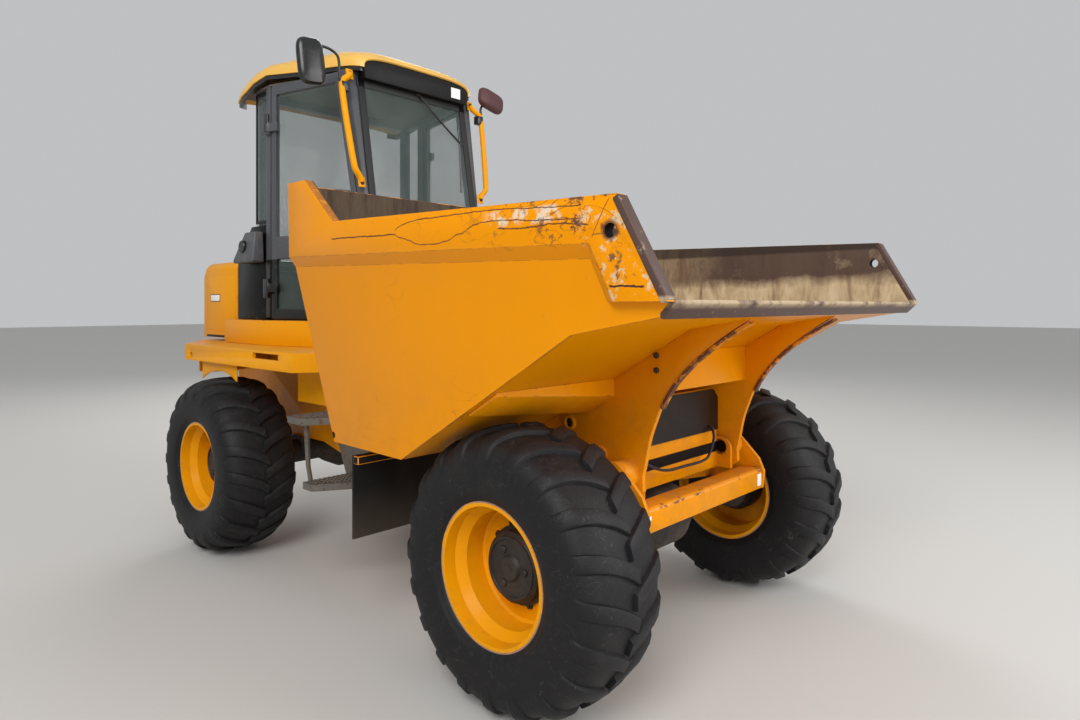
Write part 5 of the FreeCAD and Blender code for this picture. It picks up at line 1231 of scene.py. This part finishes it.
# rings of a head from its glass to its back: place in its depth and share of its width
HEAD_RINGS = ((-0.5, 0.90), (-0.42, 0.97), (-0.2, 1.0), (0.25, 0.97), (0.62, 0.86), (0.85, 0.66),
              (0.96, 0.40))
HEAD_HALF_WIDE, HEAD_HALF_TALL, HEAD_DEEP = 0.083, 0.138, 0.0372
# for each side: finish, head's place, lean and size, then the arm's steps from its root and places
MIRRORS = {
    -1: (BLACK_MOULDING, (-1950, -835, 3178), 0, 1.06, ((0, 0, 0), (0, -45, 10), (0, -60, 50), (0, -60, 170)),
         ((-1990, -640, 3290), (-1980, -720, 3306), (-1985, -800, 3290), (-1985, -828, 3240))),
    1: (mirror_housing_aged(), (-1970, 705, 3255), 84, 0.95, ((0, 0, 0), (0, 45, 10), (0, 50, 50)),
        ((-1990, 612, 3180), (-1985, 640, 3220), (-1985, 690, 3245)))}
ARM_ROOT_Y, ARM_ROOT_Z, ARM_ROOT_OUT = 560, 3080, 30
MIRROR_GLASS = mirror_silver()


def mirror_head(finish):
    """A rounded housing with a silvered face behind it, upright, its middle at the origin."""
    steps = 40
    rings = []
    for depth, share in HEAD_RINGS:
        tall_share = share * 0.5 + 0.5 if share > 0.8 else share
        ring = []
        for i in range(steps):
            turn = 2 * math.pi * i / steps
            ring.append((depth * HEAD_DEEP, squarer(math.cos(turn), 0.55) * HEAD_HALF_WIDE * share,
                         squarer(math.sin(turn), 0.48) * HEAD_HALF_TALL * tall_share))
        rings.append(ring)
    shell = bmesh.new()
    rows = skin(shell, rings, closed=True)
    shell.faces.new(rows[-1])
    glass = shell.faces.new(list(reversed(rows[0])))
    bmesh.ops.recalc_face_normals(shell, faces=shell.faces)
    bmesh.ops.inset_individual(shell, faces=[glass], thickness=0.008)
    glass.material_index = 1
    return new_object("mirror_head", mesh_from(shell, "mirror_head", outward=False), finish, MIRROR_GLASS)


def mirrors():
    parts = []
    for side, (finish, place, lean, size, steps, places) in MIRRORS.items():
        head = mirror_head(finish)
        head.scale = (1.0, size, size)
        head.rotation_euler = (math.radians(lean - side * 4), math.radians(-4), math.radians(side * 6))
        head.location = front(*place)
        parts.append(settle(head, 40))
        root = on_screen(side * ARM_ROOT_Y, ARM_ROOT_Z, ARM_ROOT_OUT)
        route = [root + Vector(step) / 1000 for step in steps] + [front(*point) for point in places]
        parts.append(bar("mirror_arm", route, 0.009, BLACK_MOULDING, 8))
        clamp_x = screen_x(ARM_ROOT_Z, ARM_ROOT_OUT)
        clamp = oblong(clamp_x - 24, clamp_x + 24, ARM_ROOT_Z - 32, ARM_ROOT_Z + 32)
        parts.append(side_plate("mirror_clamp", clamp, 556, 612, BLACK_MOULDING, 0.006, side=side))
    hold(joined("mirrors_dressed", *parts), "rear_chassis", "mirrors")


mirrors()

# Grab rails: bent tubes with flattened ends, bolted to the front posts

# the tube's line as y, z and how far it stands ahead of the windscreen's plane
RAIL = [(524, 3185, 16), (540, 3160, 22), (596, 3125, 33), (606, 3070, 33), (592, 2810, 33), (573, 2575, 33),
        (564, 2530, 33), (524, 2492, 20), (516, 2462, 16)]
# the flattened ends as y, z0, z1 and the bolt's height
RAIL_FEET = ((524, 3150, 3218, 3192), (515, 2428, 2496, 2454))
FOOT_HALF = 26


def grab_rails():
    rails = []
    for side in (1, -1):
        route = [on_screen(side * y, z, out) for y, z, out in RAIL]
        rails.append(bar("grab_rail", route, 0.0205, CAB_YELLOW, 10))
        for y, z0, z1, bolt_z in RAIL_FEET:
            rails.append(side_plate("rail_foot", along_screen(z0, z1, 10, 19), y - FOOT_HALF, y + FOOT_HALF,
                                    CAB_YELLOW, 0.004, 3, side))
            rails.append(turned("rail_bolt", nut_profile(0.022, 0.010), FASTENER,
                                on_screen(side * y, bolt_z, 18), 6, "Z", FACING_SCREEN))
    hold(joined("grab_rails_dressed", *rails), "rear_chassis", "grab_rails")


grab_rails()

# Hinge covers on the middle posts

HINGE_HEIGHTS = ((1717, 1856), (2881, 3026))


def hinge_covers():
    covers = []
    for side in (1, -1):
        for z0, z1 in HINGE_HEIGHTS:
            outline = oblong(-2832, -2766, z0, z1)
            covers.append(side_plate("hinge_cover", outline, 700.5, 716, BLACK_MOULDING, 0.007, 3, side))
    hold(joined("hinge_covers", *covers), "rear_chassis")


hinge_covers()

# Air cleaner: a tapered housing with a cap

POD_FOOT = [(-3118, -712), (-3118, -804), (-2812, -804), (-2812, -712)]
POD_TOP = [(-2985, -712), (-2985, -776), (-2826, -776), (-2826, -712)]
POD_CAP = [(0.0, 0.045), (-0.020, 0.045), (-0.026, 0.040), (-0.026, 0.0)]


def air_cleaner():
    stations = ((POD_FOOT, 1972), (POD_FOOT, 1995), (POD_TOP, 2192))
    rings = [[front(x, y, z) for x, y in outline] for outline, z in stations]
    housing = new_object("pod_housing", loft_mesh("pod_housing", rings, closed=True), POD_MOULDING)
    rounded(housing, 0.014, 3, 25)
    cap = turned("pod_cap", POD_CAP, BLACK_MOULDING, front(-2972, -784, 2088))
    hold(joined("air_cleaner_dressed", settle(housing), cap), "rear_chassis", "air_cleaner")


air_cleaner()

# Seat: cushion and back rest, sewn in panels over a moulded base

CUSHION_LOW, CUSHION_HIGH = front(-2735, -232, 1842), front(-2262, 232, 1944)
BACK_REST_HALF = Vector((0.30, 0.222, 0.045))
SEAMS = (-0.5, 0.5)
CROWN = 0.012
SEAM_DEEP = 0.006
CUTS = (12, 12, 5)
SEAT_BASE = [(-2705, 1560.3), (-2330, 1560.3), (-2300, 1840), (-2735, 1840)]


def padded_block(name, low, high):
    """A cushion: a closed form whose broad faces swell between its edges and dip at its seams."""
    shell = bmesh.new()
    grid = {}
    size, centre = (high - low) / 2, (high + low) / 2

    def vert(*key):
        if key not in grid:
            u, v, w = (2 * at / cuts - 1 for at, cuts in zip(key, CUTS))
            swell = (1 - u ** 4) * (1 - v ** 4)
            pull = 1 - 0.06 * w * w
            groove = sum(math.exp(-((v - seam) / 0.05) ** 2) for seam in SEAMS)
            x = centre[0] + size[0] * u * (pull + 0.03 * (1 - v * v))
            y = centre[1] + size[1] * v * (pull + 0.03 * (1 - u * u))
            z = centre[2] + size[2] * w
            if abs(w) > 0.99:
                z += math.copysign(CROWN * swell, w)
            if w > 0.99:
                z -= SEAM_DEEP * groove
            grid[key] = shell.verts.new((x, y, z))
        return grid[key]

    ni, nj, nk = CUTS
    for i in range(ni):
        for j in range(nj):
            for k in (0, nk):
                shell.faces.new((vert(i, j, k), vert(i + 1, j, k), vert(i + 1, j + 1, k), vert(i, j + 1, k)))
    for k in range(nk):
        for i in range(ni):
            for j in (0, nj):
                shell.faces.new((vert(i, j, k), vert(i + 1, j, k), vert(i + 1, j, k + 1), vert(i, j, k + 1)))
        for j in range(nj):
            for i in (0, ni):
                shell.faces.new((vert(i, j, k), vert(i, j + 1, k), vert(i, j + 1, k + 1), vert(i, j, k + 1)))
    obj = new_object(name, mesh_from(shell, name), CLOTH)
    soft = obj.modifiers.new("soft", "SUBSURF")
    soft.levels = soft.render_levels = 2
    return obj


def seat():
    cushion = settle(padded_block("seat_cushion", CUSHION_LOW, CUSHION_HIGH), 60)
    hold(cushion, "rear_chassis", "seat")
    rest = padded_block("seat_back_rest", -BACK_REST_HALF, BACK_REST_HALF)
    rest.rotation_euler = (0.0, math.radians(-98), 0.0)
    rest.location = front(-2722, 0, 2252)
    rest = settle(rest, 60)
    hold(rest, "rear_chassis")
    base = side_plate("seat_base", SEAT_BASE, -185, 185, BLACK_MOULDING, 0.015, 3)
    hold(base, "rear_chassis")


seat()

# Bonnet: on each side a raised panel, a blank plate in a dark border, and a slot under the panel's foot

BONNET_X = -3860
# outline, inner and outer place, finish and ease
BONNET_TRIM = (
    ([(BONNET_X, 1470), (-3330, 1470), (-3330, 1895), (BONNET_X + 40, 1895), (BONNET_X, 1850)],
     689.5, 693.5, CAB_YELLOW, 0.0025),
    (oblong(BONNET_X + 94, BONNET_X + 266, 1694, 1754), 693.0, 695.0, SEAL, 0.001),
    (oblong(BONNET_X + 100, BONNET_X + 260, 1700, 1748), 694.5, 696.0, CLEAN, 0.0005),
    (oblong(BONNET_X + 10, BONNET_X + 340, 1414, 1432), 688.0, 691.5, SEAL, 0.002))


def bonnet_side_trim():
    trim = [side_plate("bonnet_trim", *plate, side=side) for side in (1, -1) for plate in BONNET_TRIM]
    hold(joined("bonnet_side_trim", *trim), "bonnet")


bonnet_side_trim()

# Treads: raised grip holes in rows, each row ending short of the tread's slanting front edge

GRIP = [(0.0, 0.0085), (0.0042, 0.0070), (0.0042, 0.0052), (0.0, 0.0046)]
GRIP_PITCH = 30
ROW_PITCH = 29
ROWS = 9
FIRST_ROW = 815
# a tread's height, its back row's x, its front edge's x at y 800, and the edge's slant
TREADS = ((680.5, -1580, -1345, 0.579), (1030.5, -1752, -1461, 0.589))


def tread_grips():
    grips = []
    for side in (1, -1):
        for z, x_back, x_front, slant in TREADS:
            for row in range(ROWS):
                across = FIRST_ROW + row * ROW_PITCH
                reach = x_front - (across - 800) * slant
                count = int((reach - 12 - x_back) / GRIP_PITCH) + 1
                grips.append(repeated("grips", turned_mesh("grip", GRIP, 10, "Z"), STEP, max(count, 1),
                                      front(x_back, side * across, z), shift=(GRIP_PITCH / 1000, 0.0, 0.0)))
    hold(joined("tread_grips", *grips), "rear_chassis")


tread_grips()

# Ribs under the skip: tube bosses, and a folded strip and two bolts on each front edge

BOSS_RADIUS = 0.030
TUBE_BOSS = [(0.0, BOSS_RADIUS + 0.007), (0.010, BOSS_RADIUS + 0.007), (0.013, BOSS_RADIUS + 0.003),
             (0.013, BOSS_RADIUS - 0.006), (0.001, BOSS_RADIUS - 0.008)]
BOSS_PLUG = [(0.0, 0.0), (0.0015, 0.0), (0.0015, BOSS_RADIUS - 0.006), (0.0, BOSS_RADIUS - 0.006)]
BOSSES = ((-170, 1098), (19, 973))
RIB_FACE = 455.2
# the strip's section: how far it stands out of the edge, and y
STRIP_SECTION = ((5, 427), (5, 440), (2, 441), (2, 444), (5, 445), (5, 458), (-9, 458), (-9, 427))
STRIP_FOOT, STRIP_STEP, STRIP_STATIONS = 1215, 16, 25
BOLT_X, BOLT_HEIGHTS = 330, (1447, 1382)


def rib_bosses():
    bosses = []
    for side in (1, -1):
        outward = (0.0, 0.0, 0.0 if side > 0 else math.pi)
        for x, z in BOSSES:
            place = front(x, side * RIB_FACE, z)
            bosses.append(turned("rib_boss", TUBE_BOSS, BODY, place, 32, turn=outward))
            bosses.append(turned("boss_plug", BOSS_PLUG, SEAL, place, 24, turn=outward))
    hold(joined("rib_bosses", *bosses), "skip")


def rib_edge_strips():
    strips = []
    for side in (1, -1):
        rings = []
        for station in range(STRIP_STATIONS):
            z = STRIP_FOOT + station * STRIP_STEP
            x = RIB_ARC_X - math.sqrt(RIB_ARC_RADIUS ** 2 - (z - RIB_ARC_Z) ** 2) - drawn_back(z)
            rings.append([front(x + out * 0.80, side * y, z - out * 0.60) for out, y in STRIP_SECTION])
        edge = new_object("rib_edge", loft_mesh("rib_edge", rings, closed=True), EDGE_HARD)
        strips.append(settle(edge, 40))
        outward = (0.0 if side > 0 else math.pi, 0.0, 0.0)
        for height in BOLT_HEIGHTS:
            strips.append(turned("rib_bolt", nut_profile(0.024, 0.012), FASTENER,
                                 front(BOLT_X, side * (RIB_FACE - 0.4), height), 6, turn=outward))
    hold(joined("rib_edge_strips", *strips), "skip")


rib_bosses()
rib_edge_strips()

# Front frame: blank plates on the crossbar, and a steel pipe clipped across the tower

BAR_PLATES = ((486, 530, 698, 762), (-534, -516, 738, 757))
PIPE = [(150, 301, 1030), (200, 301, 1009), (200, 243, 891), (200, 186, 861), (200, -30, 868),
        (200, -196, 869), (200, -381, 943), (150, -381, 965)]
PIPE_RADIUS = 0.007

plates = [front_plate("blank_plate", oblong(*plate), 342.5, 344.5, CLEAN, 0.0008) for plate in BAR_PLATES]
hold(joined("crossbar_plates", *plates), "front_chassis")
pipe = bar("tower_pipe", [front(*point) for point in PIPE], PIPE_RADIUS, SEAL, 8)
hold(pipe, "front_chassis")

# Floor, light and the close

FLOOR_REACH = 60.0
LAMP_WIDE = 6.0
# name, place, aim, width and watts
LAMPS = (("key", (5.5, -8.5, 8.0), (0.3, 0.0, 1.2), LAMP_WIDE, 880),
         ("fill", (9.0, 4.0, 5.0), (0.5, 0.0, 1.0), LAMP_WIDE, 420),
         ("low", (8.0, -2.0, 1.2), (1.6, -0.2, 1.3), 3.5, 95),
         ("back", (-8.0, 6.0, 7.0), (-0.5, 0.0, 1.5), LAMP_WIDE, 420))

floor_mesh = bpy.data.meshes.new("floor")
floor_corners = [(x * FLOOR_REACH, y * FLOOR_REACH, 0) for x, y in ((-1, -1), (1, -1), (1, 1), (-1, 1))]
floor_mesh.from_pydata(floor_corners, [], [(0, 1, 2, 3)])
floor = new_object("floor", floor_mesh, Finish("pale_floor", srgb(198, 196, 192), 0.85).done())

world = bpy.data.worlds.new("studio")
bpy.context.scene.world = world
world.use_nodes = True
sky = world.node_tree.nodes["Background"]
sky.inputs["Color"].default_value = srgb(236, 238, 240)
sky.inputs["Strength"].default_value = 0.62

for name, place, aim, width, watts in LAMPS:
    light = bpy.data.lights.new(name, "AREA")
    light.shape = "DISK"
    light.size = width
    light.energy = watts
    lamp = new_object(name, light)
    lamp.location = place
    lamp.rotation_mode = "QUATERNION"
    lamp.rotation_quaternion = (Vector(aim) - Vector(place)).to_track_quat("-Z", "Y")
bpy.context.scene.view_settings.view_transform = "Standard"
